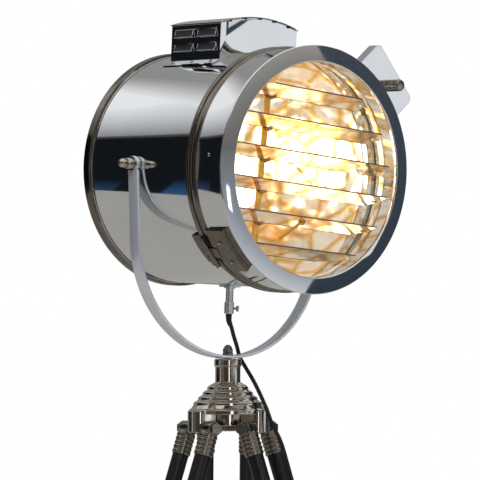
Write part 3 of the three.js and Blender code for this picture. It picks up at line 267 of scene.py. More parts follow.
# Feet: dull black with no sheen
moulded_rubber = moulded("moulded rubber", "121212", "1d1d1c", 0.72, 2, 0.15)
# Cord: smooth black plastic that catches a thin soft light
cord_sheath = moulded("extruded PVC sheath", "0b0b0c", "131314", 0.42, 3, 0.06)
# Plug and strain relief: the same plastic, with a finer and duller grit
plug_body = moulded("moulded PVC", "101011", "1a1a1b", 0.5, 1.6, 0.08)
# Lamp holder: creamy white with a wet shine
glazed_ceramic = moulded("glazed porcelain", "ece8df", "dcd6c9", 0.18, 30, 0.1)


def lit_glass():
    """Opal glass of a lit bulb: it glows evenly, warm white."""
    made, tree, shader, place = begin("lit opal glass", "fff3dc", 0, 0.3)
    glow = mixed(tree, clouds(tree, place, 40, 2), "ffe9bf", "fff3d9")
    feed(tree, shader, {"Emission Color": glow, "Emission Strength": 4.4})
    made.cycles.emission_sampling = "NONE"
    return made


opal_glass = lit_glass()


# Points, profiles and faces
def fillet(corners, closed=False, steps=4):
    """Rounds the corners that give a radius as their third number."""
    out = []
    count = len(corners)
    for i, corner in enumerate(corners):
        here = Vector(corner[:2])
        radius = corner[2] if len(corner) > 2 else 0
        if not radius or (not closed and i in (0, count - 1)):
            out.append(tuple(here))
            continue
        before = Vector(corners[i - 1][:2]) - here
        after = Vector(corners[(i + 1) % count][:2]) - here
        half = before.angle(after) / 2
        reach = min(radius / math.tan(half), 0.49 * before.length, 0.49 * after.length)
        radius = reach * math.tan(half)
        start = here + before.normalized() * reach
        end = here + after.normalized() * reach
        centre = here + (before.normalized() + after.normalized()).normalized() * (radius / math.sin(half))
        first, last = start - centre, end - centre
        sweep = first.angle_signed(last)
        for k in range(steps + 1):
            turned = Matrix.Rotation(-sweep * k / steps, 2) @ first
            out.append(tuple(centre + turned))
    return out


def lathe(profile, steps, axis="Z", closed=False):
    """Turns (radius, height) points about an axis; points on the axis become one vertex."""
    points, faces, rings = [], [], []
    for radius, height in profile:
        if radius < 1e-6:
            rings.append([len(points)])
            points.append((0, 0, height))
            continue
        rings.append(list(range(len(points), len(points) + steps)))
        for k in range(steps):
            angle = TURN * k / steps
            points.append((radius * math.cos(angle), radius * math.sin(angle), height))
    pairs = list(zip(rings, rings[1:]))
    if closed:
        pairs.append((rings[-1], rings[0]))
    for low, high in pairs:
        for k in range(steps):
            nxt = (k + 1) % steps
            if len(low) > 1 and len(high) > 1:
                faces.append((low[k], low[nxt], high[nxt], high[k]))
            elif len(low) > 1:
                faces.append((low[k], low[nxt], high[0]))
            elif len(high) > 1:
                faces.append((low[0], high[nxt], high[k]))
    turn = {
        "Z": lambda p: p,
        "Y": lambda p: (p[0], p[2], -p[1]),
        "X": lambda p: (p[2], p[0], p[1]),
    }[axis]
    return [turn(p) for p in points], faces


def box(xs, ys, zs):
    """A block between two places along each axis."""
    points = [(x, y, z) for x in xs for y in ys for z in zs]
    faces = [(0, 1, 3, 2), (4, 6, 7, 5), (0, 4, 5, 1), (2, 3, 7, 6), (0, 2, 6, 4), (1, 5, 7, 3)]
    return points, faces


def outline(shape, low, high):
    """An outline in X and Y, filled between two heights."""
    count = len(shape)
    points = [(x, y, z) for z in (low, high) for x, y in shape]
    faces = [tuple(range(count - 1, -1, -1)), tuple(range(count, 2 * count))]
    faces += [(k, (k + 1) % count, count + (k + 1) % count, count + k) for k in range(count)]
    return points, faces


def moved(form, matrix):
    """The same form at another place."""
    return [tuple(matrix @ Vector(p)) for p in form[0]], form[1]


def stood(form):
    """The same form tipped over, so that its heights run to the front."""
    return [(x, -z, y) for x, y, z in form[0]], form[1]


def curved_plate(outer, inner, middle, sweep, steps):
    """The outline of a plate bent round the drum's axis; angles in radians."""
    arc = [middle + (k / steps - 0.5) * sweep for k in range(steps + 1)]
    rim = [(outer * math.cos(a), outer * math.sin(a)) for a in arc]
    return rim + [(inner * math.cos(a), inner * math.sin(a)) for a in reversed(arc)]


def threaded(crest, root, low, pitch, turns):
    """The profile of a thread."""
    return [p for k in range(turns) for p in ((crest, low + pitch * k), (root, low + pitch * k + pitch / 2))]


def facing(degrees):
    """The direction away from the drum's axis at an angle."""
    return math.cos(math.radians(degrees)), 0, math.sin(math.radians(degrees))


def around(radius, degrees, y):
    """A place round the drum's axis."""
    outwards = facing(degrees)
    return radius * outwards[0], y, radius * outwards[2]


def aimed(direction):
    """Turns +Z to a direction."""
    return Vector(direction).to_track_quat("Z", "Y").to_matrix().to_4x4()


def tube(path, radius, sides):
    """A round tube along points, with flat ends; radius may be one value or one per point."""
    radii = radius if isinstance(radius, list) else [radius] * len(path)
    points, faces = [], []
    along = (path[1] - path[0]).normalized()
    side = along.orthogonal().normalized()
    for i, place in enumerate(path):
        ahead = (path[min(i + 1, len(path) - 1)] - path[max(i - 1, 0)]).normalized()
        side = (side - ahead * side.dot(ahead)).normalized()
        over = ahead.cross(side)
        for k in range(sides):
            angle = TURN * k / sides
            points.append(tuple(place + radii[i] * (side * math.cos(angle) + over * math.sin(angle))))
        if i:
            start = (i - 1) * sides
            faces += [
                (start + k, start + (k + 1) % sides, start + sides + (k + 1) % sides, start + sides + k)
                for k in range(sides)
            ]
    faces.append(tuple(range(sides - 1, -1, -1)))
    faces.append(tuple(range(len(points) - sides, len(points))))
    return points, faces


# Pieces
def shade(data, sharp):
    """Smooth faces with hard edges where they meet at more than an angle in degrees."""
    for face in data.polygons:
        face.use_smooth = True
    data.set_sharp_from_angle(angle=math.radians(sharp))


def sheet(name, points, faces):
    """A mesh as it is drawn."""
    data = bpy.data.meshes.new(name)
    data.from_pydata(points, [], faces)
    return data


def solid(name, points, faces):
    """A mesh whose faces all look outwards."""
    data = sheet(name, points, faces)
    work = bmesh.new()
    work.from_mesh(data)
    bmesh.ops.recalc_face_normals(work, faces=work.faces)
    work.to_mesh(data)
    work.free()
    return data


def soften(made, edge):
    """Breaks the hard edges by a width in millimetres, as a file or a wheel does."""
    bevel = made.modifiers.new("edge", "BEVEL")
    bevel.width = edge * MM
    bevel.segments = 2
    bevel.limit_method = "ANGLE"
    bevel.angle_limit = math.radians(30)
    bevel.harden_normals = True


def dressed(made, finish, body, stands_for, sharp, edge):
    """Shades and finishes an object, sets it riding on a body, and hides the nodes it stands for."""
    shade(made.data, sharp)
    made.data.materials.clear()
    made.data.materials.append(finish)
    if edge:
        soften(made, edge)
    if body:
        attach(made, body)
    if stands_for:
        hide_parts(*stands_for)
    return made


def piece(name, forms, place, finish, body=None, stands_for=(), sharp=35, edge=0):
    """One object from forms in millimetres, set in its place and riding on a body."""
    points, faces = [], []
    for form_points, form_faces in forms:
        start = len(points)
        points += [place @ (Vector(p) * MM) for p in form_points]
        faces += [tuple(start + k for k in face) for face in form_faces]
    made = placed(name, solid(name, points, faces))
    return dressed(made, finish, body, stands_for, sharp, edge)


def refined(node, finish, body, edge=0.4, sharp=30):
    """A CAD node's own shape, welded, with its edges softened and its round faces smooth."""
    data = frame["nodes"][node].data.copy()
    data.name = node + "_skin"
    work = bmesh.new()
    work.from_mesh(data)
    bmesh.ops.remove_doubles(work, verts=work.verts, dist=MM / 1000)
    bmesh.ops.dissolve_limit(work, angle_limit=math.radians(0.5), verts=work.verts, edges=work.edges)
    work.to_mesh(data)
    work.free()
    return dressed(placed(node + "_skin", data), finish, body, [node], sharp, edge)


def carve(made, place, *forms):
    """Cuts forms in millimetres, set in their place, out of a piece."""
    for points, faces in forms:
        cutter = placed("cutter", solid("cutter", [place @ (Vector(p) * MM) for p in points], faces))
        cut = made.modifiers.new("cut", "BOOLEAN")
        cut.operation = "DIFFERENCE"
        cut.solver = "EXACT"
        cut.object = cutter
        bpy.context.view_layer.update()
        seen_by = bpy.context.evaluated_depsgraph_get()
        result = bpy.data.meshes.new_from_object(made.evaluated_get(seen_by))
        made.modifiers.remove(cut)
        made.data = result
        bpy.data.objects.remove(cutter)


# Cord: from the stem's collar round the hub, down beside the front leg, and into a coil on the floor
CORD_RADIUS, CORD_SIDES, CORD_STEP = 3.4, 12, 4
STEM_BACK, STEM_FOOT, EXIT_GAP = 17, -240, 0.3
ROUTE = [
    (0.9, -1.8, 1107), (7.6, 0.2, 1098), (17.3, 6.2, 1084), (31, 14.4, 1067.3), (42.3, 19.3, 1047.3),
    (46.1, 10.9, 1032.3), (41.5, -16.1, 1009), (34, -39.4, 990.6), (25, -63, 972.3), (19.5, -77.7, 960),
    (21.5, -86.9, 939), (33, -96, 909), (42.4, -103.5, 868.9), (46.4, -109.4, 844), (66.6, -139.6, 730),
    (93.1, -178.9, 580), (117.9, -222, 430), (134.2, -252, 330), (147.9, -280.8, 230),
    (161.4, -306.5, 130), (171.2, -317.5, 70), (181.2, -321.1, 30), (193.5, -316.8, 11.5),
    (208, -304.6, 4.6), (219, -280, 3.7), (221, -245, 3.6), (212, -205, 3.6), (197, -163, 3.6),
    (180, -122, 3.6), (170.5, -95, 3.6),
]
SPLIT = 4  # the route's point where the cord crosses from the yoke to the base
COIL_X, COIL_Y, COIL_OUTER, COIL_PITCH, COIL_RISE = 124, -60, 45, 7.5, 7.4
COIL_IN, COIL_STEPS, COIL_TAIL, CORD_LIFT = 2, 24, 44, 3.6


def coil_points():
    """The coil spirals in on the floor, climbs a layer and spirals out again to its tail."""
    points = []
    for i in range(2 * COIL_IN * COIL_STEPS + 1):
        turn = i / COIL_STEPS
        inwards = COIL_IN - abs(turn - COIL_IN)
        climb = min(max(2 * (turn - COIL_IN) + 0.5, 0), 1)
        radius = COIL_OUTER - COIL_PITCH * inwards
        x, y = radius * math.cos(turn * TURN), radius * math.sin(turn * TURN)
        points.append(Vector((COIL_X + x, COIL_Y + y, CORD_LIFT + climb * COIL_RISE)))
    points.append(points[-1] + Vector((0, COIL_TAIL, 0)))
    return points


def reached(low, high, start, end, now):
    """Where a straight run from low at start to high at end has got to now."""
    return low.lerp(high, (now - start) / (end - start))


def eased(points, step):
    """A smooth line through points, by centripetal spline, as points about a step apart."""
    whole = [2 * points[0] - points[1], *points, 2 * points[-1] - points[-2]]
    line = [points[0].copy()]
    for knots in zip(whole, whole[1:], whole[2:], whole[3:]):
        times = [0]
        for low, high in zip(knots, knots[1:]):
            times.append(times[-1] + math.sqrt((high - low).length))
        count = max(1, round((knots[2] - knots[1]).length / step))
        for k in range(1, count + 1):
            now = times[1] + (times[2] - times[1]) * k / count
            first = [reached(knots[i], knots[i + 1], times[i], times[i + 1], now) for i in range(3)]
            second = [reached(first[i], first[i + 1], times[i], times[i + 2], now) for i in range(2)]
            line.append(reached(*second, times[1], times[2], now))
    return line


def cord_piece(name, line):
    """A stretch of the sheath along a line in metres."""
    form = tube([p / MM for p in line], CORD_RADIUS, CORD_SIDES)
    return piece(name, [form], WORLD, cord_sheath, sharp=60)


stem_exit = HEAD @ (Vector((0, -STEM_BACK, STEM_FOOT - EXIT_GAP)) * MM)
cord_points = [(stem_exit - AXIS) / MM] + [Vector(p) for p in ROUTE] + coil_points()
cord_line = [p * MM + AXIS for p in eased(cord_points, CORD_STEP)]
split_place = Vector(ROUTE[SPLIT]) * MM + AXIS
split_at = min(range(len(cord_line)), key=lambda i: (cord_line[i] - split_place).length)
upper_line, lower_line = cord_line[: split_at + 1], cord_line[split_at:]

cord_upper = cord_piece("cord_upper", upper_line)
cord_lower = cord_piece("cord_lower", lower_line)
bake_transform(cord_upper)
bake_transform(cord_lower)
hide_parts("cord_run", "cord_coil")

# Strain relief: a short tapered sleeve with rings, under the stem's collar
RELIEF_LONG, RELIEF_RADIUS, RELIEF_TAPER, RELIEF_RIB = 21, 5.4, 1.6, 0.35
relief_line, relief_radii, gone = [upper_line[0] / MM], [RELIEF_RADIUS], 0
for low, high in zip(upper_line, upper_line[1:]):
    gone += (high - low).length / MM
    if gone > RELIEF_LONG:
        break
    for share, rib in ((0.25, 0), (0.5, RELIEF_RIB), (0.75, RELIEF_RIB), (1, 0)):
        relief_line.append(low.lerp(high, share) / MM)
        relief_radii.append(RELIEF_RADIUS - RELIEF_TAPER * gone / RELIEF_LONG + rib)
relief_form = tube(relief_line, relief_radii, 20)
relief = piece("cord_strain_relief", [relief_form], WORLD, plug_body, "head", sharp=50)

# Plug: a waisted grip with finger ridges and two round pins
GRIP_HALF, RIDGE_HALF, PIN_OUT = 10.2, 10.5, 9.5
plug_low, plug_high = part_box("plug")
PLUG = Matrix.Translation(((plug_low.x + plug_high.x) / 2, plug_low.y, (plug_low.z + plug_high.z) / 2))
grip_shape = fillet(
    [
        (-5.5, 0, 1), (5.5, 0, 1), (6.5, 8, 6), (14, 20, 8),
        (14.8, 39.6, 2.5), (-14.8, 39.6, 2.5), (-14, 20, 8), (-6.5, 8, 6),
    ],
    closed=True,
)
ridge = outline(fillet([(-9, 0, 1), (9, 0, 1), (9, 2, 1), (-9, 2, 1)], True), -RIDGE_HALF, RIDGE_HALF)
ridges = [moved(ridge, Matrix.Translation((0, y, 0))) for y in (24, 28, 32)]
pin_profile = fillet([(0, 38), (2.4, 38), (2.4, 58.8, 1.6), (0, 58.8)])
pin_forms = [
    moved(lathe(pin_profile, 20, "Y"), Matrix.Translation((x, 0, 0))) for x in (-PIN_OUT, PIN_OUT)
]
grip = outline(grip_shape, -GRIP_HALF, GRIP_HALF)
plug = piece("plug_grip", [grip, *ridges], PLUG, plug_body, "base", ["plug"], edge=1.2)
pins = piece("plug_pins", pin_forms, PLUG, plated_hardware, "base")

# Drum and hood: spun sheet with rolled beads
ROUND = 160
MIRROR = Matrix.Scale(-1, 4, (1, 0, 0))
drum_profile = fillet(
    [
        (0, 131), (58, 131, 2), (62, 133.2, 3), (66, 131, 2), (148, 131, 2), (152, 133.2, 3), (156, 131, 2),
        (187, 131, 4), (191.5, 137, 2), (197.6, 138, 1.2), (198.5, 136.6, 1.2), (198.5, 121.2, 1.2),
        (193, 120.6, 0.6), (193, -132.6, 1), (197.6, -133.6, 1.6), (200, -136, 2.2), (200, -140, 2.2),
        (197.6, -142, 1.6), (195, -142.6, 0.5), (195, -145.7, 0.4), (191.5, -145.7, 0.4), (191.5, 129.5),
        (0, 129.5),
    ]
)
drum = piece("drum", [lathe(drum_profile, ROUND, "Y")], HEAD, polished_sheet, sharp=28)
vent_hole, stem_hole = box((-58, 58), (-40, 40), (96, 196)), box((-7, 7), (-24, -10), (-196, -150))
carve(drum, HEAD, vent_hole, stem_hole)
shade(drum.data, 28)


def paint_bead_shade(made, beads, radius):
    """Gives the beads between two places along the drum's axis a darker metal, as painted shade."""
    made.data.materials.append(bead_shade_metal)
    for face in made.data.polygons:
        place = (HEAD.inverted() @ face.center) / MM
        if math.hypot(place.x, place.z) > radius and any(a < place.y < b for a, b in beads):
            face.material_index = 1


paint_bead_shade(drum, ((120, 138.5), (-143, -132.8)), 193.8)
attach(drum, "head")
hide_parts("drum_shell")

boss = lathe(fillet([(0, 189), (11, 189), (11, 195.2, 0.8), (0, 195.2)]), 40, "X")
stud = lathe([(0, 190), *threaded(4, 3.6, 193.5, 0.75, 24), (3.4, 211.9), (0, 211.9)], 20, "X")
studs = [moved(boss, MIRROR), moved(stud, MIRROR), boss, stud]
piece("pivot_studs", studs, HEAD, plated_hardware, "head")

hood_profile = fillet(
    [
        (189.3, -139), (190.9, -139), (190.9, -146.3), (195, -146.3, 0.4), (195, -148.4, 0.4),
        (197.6, -149, 1.6), (200, -151, 2.2), (200, -156, 2.2), (197.6, -158.4, 1.6), (196, -158.8, 0.4),
        (196, -219.6, 0.6), (199.3, -220.6, 0.8), (200, -222.2, 0.8), (198.9, -223.4, 0.8),
        (174, -227, 1.2), (172.7, -225.6, 0.8), (172.7, -221, 0.3), (174.2, -221, 0.3), (174.2, -224, 0.6),
        (194.5, -221, 1), (194.5, -150.5), (189.3, -149),
    ],
    closed=True,
)
hood_form = lathe(hood_profile, ROUND, "Y", closed=True)
hood = piece("hood", [hood_form], HEAD, polished_sheet, "hood", ["hood_shell"], 28)
paint_bead_shade(hood, ((-159.5, -148.5),), 196.2)

# Reflector bowl: spun deep, then hammered; the blows are real hollows in its mesh
BOWL_SEAT, BOWL_DEPTH, BOWL_RIM, BOWL_SHEET, BOWL_STEPS = -126, 226, 190.5, 1.2, 40


def bowl_face(inset):
    """The bowl's inner or outer face, from its rim to its closed end."""
    profile = []
    for k in range(BOWL_STEPS):
        angle = math.radians(90) * k / BOWL_STEPS
        along = BOWL_SEAT + (BOWL_DEPTH - inset) * math.sin(angle)
        profile.append(((BOWL_RIM - inset) * math.cos(angle), along))
    return lathe(profile + [(0, BOWL_SEAT + BOWL_DEPTH - inset)], 120, "Y")


def hollowed(form, depth):
    """Moves each point of the bowl inwards by an uneven amount, as hammer blows do."""
    wide, small, lip = 26, 11, 12
    out = []
    for p in form[0]:
        place = Vector(p)
        blow = noise.noise(place / wide) + 0.5 * noise.noise(place / small)
        inwards = Vector((place.x, 0.4 * (place.y - BOWL_SEAT), place.z))
        rim = min(max((place.y - BOWL_SEAT) / lip, 0), 1)
        out.append(tuple(place - inwards.normalized() * depth * rim * (1 + blow)))
    return out, form[1]


bowl_forms = [hollowed(bowl_face(BOWL_SHEET), 1.1), bowl_face(0)]
piece("reflector", bowl_forms, HEAD, reflector_sheet, "head", ["reflector_bowl"], 60)

# Stem, its plate under the drum and the screws
LAMP = HEAD @ Matrix.Translation((0, -STEM_BACK * MM, 0))
stem_profile = fillet(
    [(4, -150), (6.35, -150, 0.4), (6.35, -219.6, 0.3), (8, -221, 0.5), (8, -239.4, 0.6), (7.4, -240), (0, -240)]
)
piece("stem_tube", [lathe(stem_profile, 40)], LAMP, polished_bar, "head")
plate_shape = curved_plate(196, 193.3, math.radians(-90), math.radians(7), 10)
plate_form = stood(outline(plate_shape, 3, 31))
piece("stem_plate", [plate_form], HEAD, polished_bar, "head", ["stem"], edge=0.4)


def screw_head(radius, height, slot_width=1.1):
    """A pan head, and a dark block where its slot is as painted shade, drawn on the plane z = 0."""
    dome = fillet(
        [(0, 0), (radius, 0), (radius, 0.45 * height, 0.3 * height), (0.55 * radius, height, 0.8), (0, height)]
    )
    half, deep, proud = slot_width / 2, 0.42, 0.04
    return lathe(dome, 24), box((-0.75 * radius, 0.75 * radius), (-half, half), (height - deep, height + proud))


def screws(name, spots, place, body, radius=3, height=2):
    """Screw heads at (position, direction) spots, with dark blocks in their slots as painted shade."""
    heads, slot_shades = [], []
    for where, direction in spots:
        spot = Matrix.Translation(where) @ aimed(direction)
        head, slot_shade_form = screw_head(radius, height)
        heads.append(moved(head, spot))
        slot_shades.append(moved(slot_shade_form, spot))
    piece(name, heads, place, plated_hardware, body)
    piece(name + "_slots", slot_shades, place, painted_shade_metal, body)


plate_spots = [(around(196, angle, -17), facing(angle)) for angle in (-92.6, -87.4)]
screws("stem_plate_screws", plate_spots, HEAD, "head", 2.6, 2)
THUMB_HEIGHT, THUMB_TURN = -231, -40
thumb_turn = Matrix.Rotation(math.radians(THUMB_TURN), 4, "Z")
THUMB = LAMP @ (Matrix.Translation((0, 0, THUMB_HEIGHT * MM)) @ thumb_turn)
thumb_form = [
    lathe(fillet([(0, 4.3), (2, 4.3), (2, 12.5), (0, 12.5)]), 20, "X"),
    lathe(fillet([(0, 11.6), (4.8, 11.6, 0.6), (4.8, 16.4, 0.9), (0, 16.4)]), 32, "X"),
]
piece("stem_thumb_screw", thumb_form, THUMB, plated_hardware, "stem_screw", ["stem_screw"])

# Lamp holder and bulb
holder_profile = fillet(
    [
        (0, -149.7), (10, -149.7, 1.5), (21, -138.7, 5), (21, -96.7, 0.8), (23, -96.7, 0.8), (23, -90.7, 1.2),
        (15, -90.7, 0.8), (15, -125.7), (0, -125.7),
    ]
)
holder_form = lathe(holder_profile, 48)
piece("lamp_socket", [holder_form], LAMP, glazed_ceramic, "head", ["lamp_holder"])
GLOBE, GLOBE_AT, NECK, GLOBE_STEPS = 47.5, -21.4, 22, 24
neck_angle = -math.acos(NECK / GLOBE)
globe = [(0, -97), (13.6, -97), (15.5, -84), (19, -73)]
for k in range(GLOBE_STEPS + 1):
    angle = neck_angle + (math.radians(90) - neck_angle) * k / GLOBE_STEPS
    globe.append((max(GLOBE * math.cos(angle), 0), GLOBE_AT + GLOBE * math.sin(angle)))
piece("bulb_glass", [lathe(globe, 64)], LAMP, opal_glass, "head", ["bulb"], 80)
cap = [(0, -124.6), (8, -124.6), *threaded(13.1, 12.5, -121.5, 1.75, 14), (13.4, -96.8), (0, -96.8)]
piece("bulb_cap", [lathe(cap, 40)], LAMP, drawn_brass, "head", sharp=80)

# Pivot nuts: washer, round grip, groove and rounded tip
nut_profile = fillet(
    [
        (4.3, 200.8), (12, 200.8, 0.6), (12, 203.2, 0.6), (8.6, 203.2), (8.6, 214, 0.8), (6, 214.4),
        (7.2, 218.6, 1.5), (7.2, 223.2, 3), (3.6, 227.2, 1.5), (0, 228.1), (0, 212.3), (4.3, 212.3),
    ]
)
nut = lathe(nut_profile, 48, "X", closed=True)
for name, form in (("right", nut), ("left", moved(nut, MIRROR))):
    node = f"pivot_nut_{name}"
    piece(f"pivot_knob_{name}", [form], HEAD, plated_hardware, "head", [node], 30)

# Yoke: a flat bar rolled to a bow
BAR_HALF, BAR_THICK, BAR_EDGE, BOW, BOW_DROP, ARM, ARM_TOP = 12.5, 5, 1.1, 197, 118, 200.5, -10
YOKE_STEPS = 96


def yoke_forms():
    """Arms with round ends, and the bow between them."""
    section = fillet(
        [
            (-BAR_HALF, 0, BAR_EDGE), (BAR_HALF, 0, BAR_EDGE),
            (BAR_HALF, BAR_THICK, BAR_EDGE), (-BAR_HALF, BAR_THICK, BAR_EDGE),
        ],
        True,
        3,
    )
    rows = [(-ARM, ARM_TOP, 0)]
    for k in range(YOKE_STEPS + 1):
        angle = math.pi * k / YOKE_STEPS
        rows.append((-BOW * math.cos(angle), -BOW_DROP - BOW * math.sin(angle), angle))
    rows.append((ARM, ARM_TOP, math.pi))
    count = len(section)
    points, faces = [], []
    for i, (x, z, angle) in enumerate(rows):
        inwards = Vector((math.cos(angle), 0, math.sin(angle)))
        points += [tuple(Vector((x, y, z)) + inwards * depth) for y, depth in section]
        if i:
            low, high = (i - 1) * count, i * count
            faces += [(low + k, low + (k + 1) % count, high + (k + 1) % count, high + k) for k in range(count)]
    faces.append(tuple(range(count - 1, -1, -1)))
    faces.append(tuple(range(len(points) - count, len(points))))
    end_profile = fillet([(0, 0), (BAR_HALF, 0, 1), (BAR_HALF, BAR_THICK, 1), (0, BAR_THICK)], False, 3)
    end = moved(lathe(end_profile, 48, "X"), Matrix.Translation((-ARM, 0, 0)))
    return [(points, faces), end, moved(end, MIRROR)]


piece("yoke_bar", yoke_forms(), YOKE, lacquered_bar, "yoke", ["yoke"], 40)

# Dome nut on the yoke
dome_profile = fillet(
    [
        (0, -292), (2.4, -292.3, 1), (5.6, -294.6, 4), (8.2, -299.6, 4), (8.6, -303.6, 1), (7.6, -304.8, 0.4),
        (8.75, -305.6, 0.4), (8.75, -309.7, 0.5), (5.9, -309.7), (5.9, -326.6), (0, -326.6),
    ]
)
dome = lathe(dome_profile, 48)
piece("dome_nut_turned", [dome], YOKE, aged_nickel, "base", ["dome_nut"], 30)

# Hub: turned beehive on a disc, with three lugs
HUB_HEIGHT, HUB_RINGS, RING_FIRST, RING_LAST, RING_RISE = 930, 4, 34, 57, 8.5
HUB = STANDING @ Matrix.Translation((0, 0, HUB_HEIGHT * MM))
hub_profile = [
    (0, 96.7), (6.2, 96.7), (6.2, 114.7, 0.6), (20.6, 114.7, 2.2), (22.7, 112.6, 2), (22.7, 103, 2),
    (21, 101, 0.8), (21, 75.6, 1.6),
]
for i in range(HUB_RINGS):
    radius = RING_FIRST + i * (RING_LAST - RING_FIRST) / (HUB_RINGS - 1)
    top = 36 + (HUB_RINGS - i) * RING_RISE
    inner = top + (0.2 if i else 1.4)
    hub_profile += [(radius - 5, inner, 1), (radius, top - 2.2, 2.6), (radius + 0.3, top - 6.4, 1.2)]
hub_profile += [(61, 32.4, 1.5), (65, 29.6, 2), (65, 23, 1), (38, 23), (36, 23), (36, 4, 1), (0, 4)]
LEG_ANGLES = {1: 171.8, 2: -68.2, 3: 51.8}
LUG_ROOT, LUG_HALF, LUG_LOW, LUG_HIGH, LUG_STEPS, BOLT_OUT = 34, 19, -7, 29, 24, 55.5
nose = [math.radians(-90 + 180 * k / LUG_STEPS) for k in range(LUG_STEPS + 1)]
lug = [(BOLT_OUT + LUG_HALF * math.cos(a), LUG_HALF * math.sin(a)) for a in nose]
lug_form = outline([(LUG_ROOT, -LUG_HALF), *lug, (LUG_ROOT, LUG_HALF)], LUG_LOW, LUG_HIGH)
lugs = [moved(lug_form, Matrix.Rotation(math.radians(a), 4, "Z")) for a in LEG_ANGLES.values()]
piece("hub_turned", [lathe(fillet(hub_profile), 120)], HUB, plated_casting, "base", ["hub"], 30)
piece("hub_lugs", lugs, HUB, plated_casting, "base", sharp=30, edge=1.6)

# Legs: heights are measured down each leg from its bolt
SPLAY = math.radians(18.2)
LEG_LENGTH = HUB_HEIGHT / math.cos(SPLAY)
POLE_RADIUS, POLE_APART, POLE_TOP, POLE_LOW, LOWER_TOP = 13.5, 35.5, -12.3, -606.7, -230
FOOT_TOP, CAP_LOW = 50 - LEG_LENGTH, 40 - LEG_LENGTH
RIBS, RIB_PITCH, RIB_ROOT, RIB_CREST = 5, 7.2, 14.7, 15.55
ferrule_profile = [(0, -7), (13.6, -7, 0.6), (RIB_ROOT, -9.6, 0.6)]
for i in range(RIBS):
    top = -10 - RIB_PITCH * i
    ferrule_profile += [(RIB_ROOT, top - 0.9, 0.5), (RIB_CREST, top - 2.4, 1.3)]
    ferrule_profile += [(RIB_CREST, top - 5, 1.3), (RIB_ROOT, top - 6.6, 0.5)]
ferrule_profile += [(14.9, -46, 0.3), (13.8, -46), (13.8, -12), (0, -12)]
eye_profile = fillet([(5.3, -15.3), (12, -15.3, 1.2), (12, 15.3, 1.2), (5.3, 15.3)], closed=True)
ferrule = [lathe(fillet(ferrule_profile), 56), lathe(eye_profile, 40, "Y", closed=True)]


def pole(low, high, low_edge, high_edge):
    """A round pole between two heights, with rounded ends."""
    ends = [(0, low), (POLE_RADIUS, low, low_edge), (POLE_RADIUS, high, high_edge), (0, high)]
    return [lathe(fillet(ends), 48)]


upper_pole, lower_pole = pole(POLE_LOW, POLE_TOP, 0.8, 0.8), pole(FOOT_TOP, LOWER_TOP, 0.8, 3)
cap_profile = [
    (0, CAP_LOW), (15.3, CAP_LOW, 0.8), (15.3, CAP_LOW + 33.4, 1.2), (13.8, CAP_LOW + 34, 0.2),
    (13.8, CAP_LOW + 9.8), (0, CAP_LOW + 9.8),
]
foot_cap = [lathe(fillet(cap_profile), 48)]
for n, degrees in LEG_ANGLES.items():
    leg, lower = f"leg_{n}", f"lower_leg_{n}"
    swing = (
        STANDING
        @ Matrix.Rotation(math.radians(degrees), 4, "Z")
        @ Matrix.Translation((BOLT_OUT * MM, 0, HUB_HEIGHT * MM))
        @ Matrix.Rotation(-SPLAY, 4, "Y")
    )
    for side, tag in ((-1, f"{n}a"), (1, f"{n}b")):
        beside = swing @ Matrix.Translation((0, side * POLE_APART * MM, 0))
        nodes = [f"ferrule_{tag}"], [f"upper_pole_{tag}"]
        piece(f"ribbed_ferrule_{tag}", ferrule, beside, aged_nickel, leg, nodes[0], 30)
        piece(f"pole_{tag}", upper_pole, beside, black_lacquer, leg, nodes[1], 40)
    piece(f"sliding_pole_{n}", lower_pole, swing, black_lacquer, lower, [f"lower_pole_{n}"], 40)
    piece(f"pole_cap_{n}", foot_cap, swing, plated_casting, lower, [f"foot_cap_{n}"], 40)
    refined(f"foot_{n}", moulded_rubber, lower, 0.8, 40)
    refined(f"leg_clamp_{n}", plated_casting, leg, 0.7, 40)
    refined(f"leg_knob_{n}", plated_hardware, f"knob_{n}", 0.6, 30)
    refined(f"leg_bolt_{n}", aged_nickel, "base", 0.7, 30)

# Vent housing: the CAD's shape with finished edges; its louvred sides are painted near black, as painted shade in
# the gaps between the louvres
VENT_SIDE, LOUVRE_LOW, LOUVRE_HIGH = 82, 188, 230
vent = refined("vent_box", polished_sheet, "head", 0.35, 30)
vent.data.materials.append(painted_shade_metal)
for face in vent.data.polygons:
    middle = (HEAD.inverted() @ face.center) / MM
    if abs(middle.x) > VENT_SIDE + 0.05 and LOUVRE_LOW < middle.z < LOUVRE_HIGH:
        face.material_index = 1

# Notches in the roof's front lip, drawn as dark blocks: painted shade
ROOF_RADIUS, LIP_FRONT, LIP_BACK, NOTCH_HALF, NOTCH_LOW, NOTCH_HIGH = 250, -70.3, -68.3, 2.6, 4.1, 1.2
apex = max((HEAD.inverted() @ vertex.co).z for vertex in vent.data.vertices) / MM
notches = []
for across in (-64, -32, 0, 32, 64):
    crown = apex - ROOF_RADIUS + math.sqrt(ROOF_RADIUS**2 - across**2)
    sides = across - NOTCH_HALF, across + NOTCH_HALF
    notches.append(box(sides, (LIP_FRONT, LIP_BACK), (crown - NOTCH_LOW, crown - NOTCH_HIGH)))
piece("vent_lip_notches", notches, HEAD, painted_shade_metal, "head")

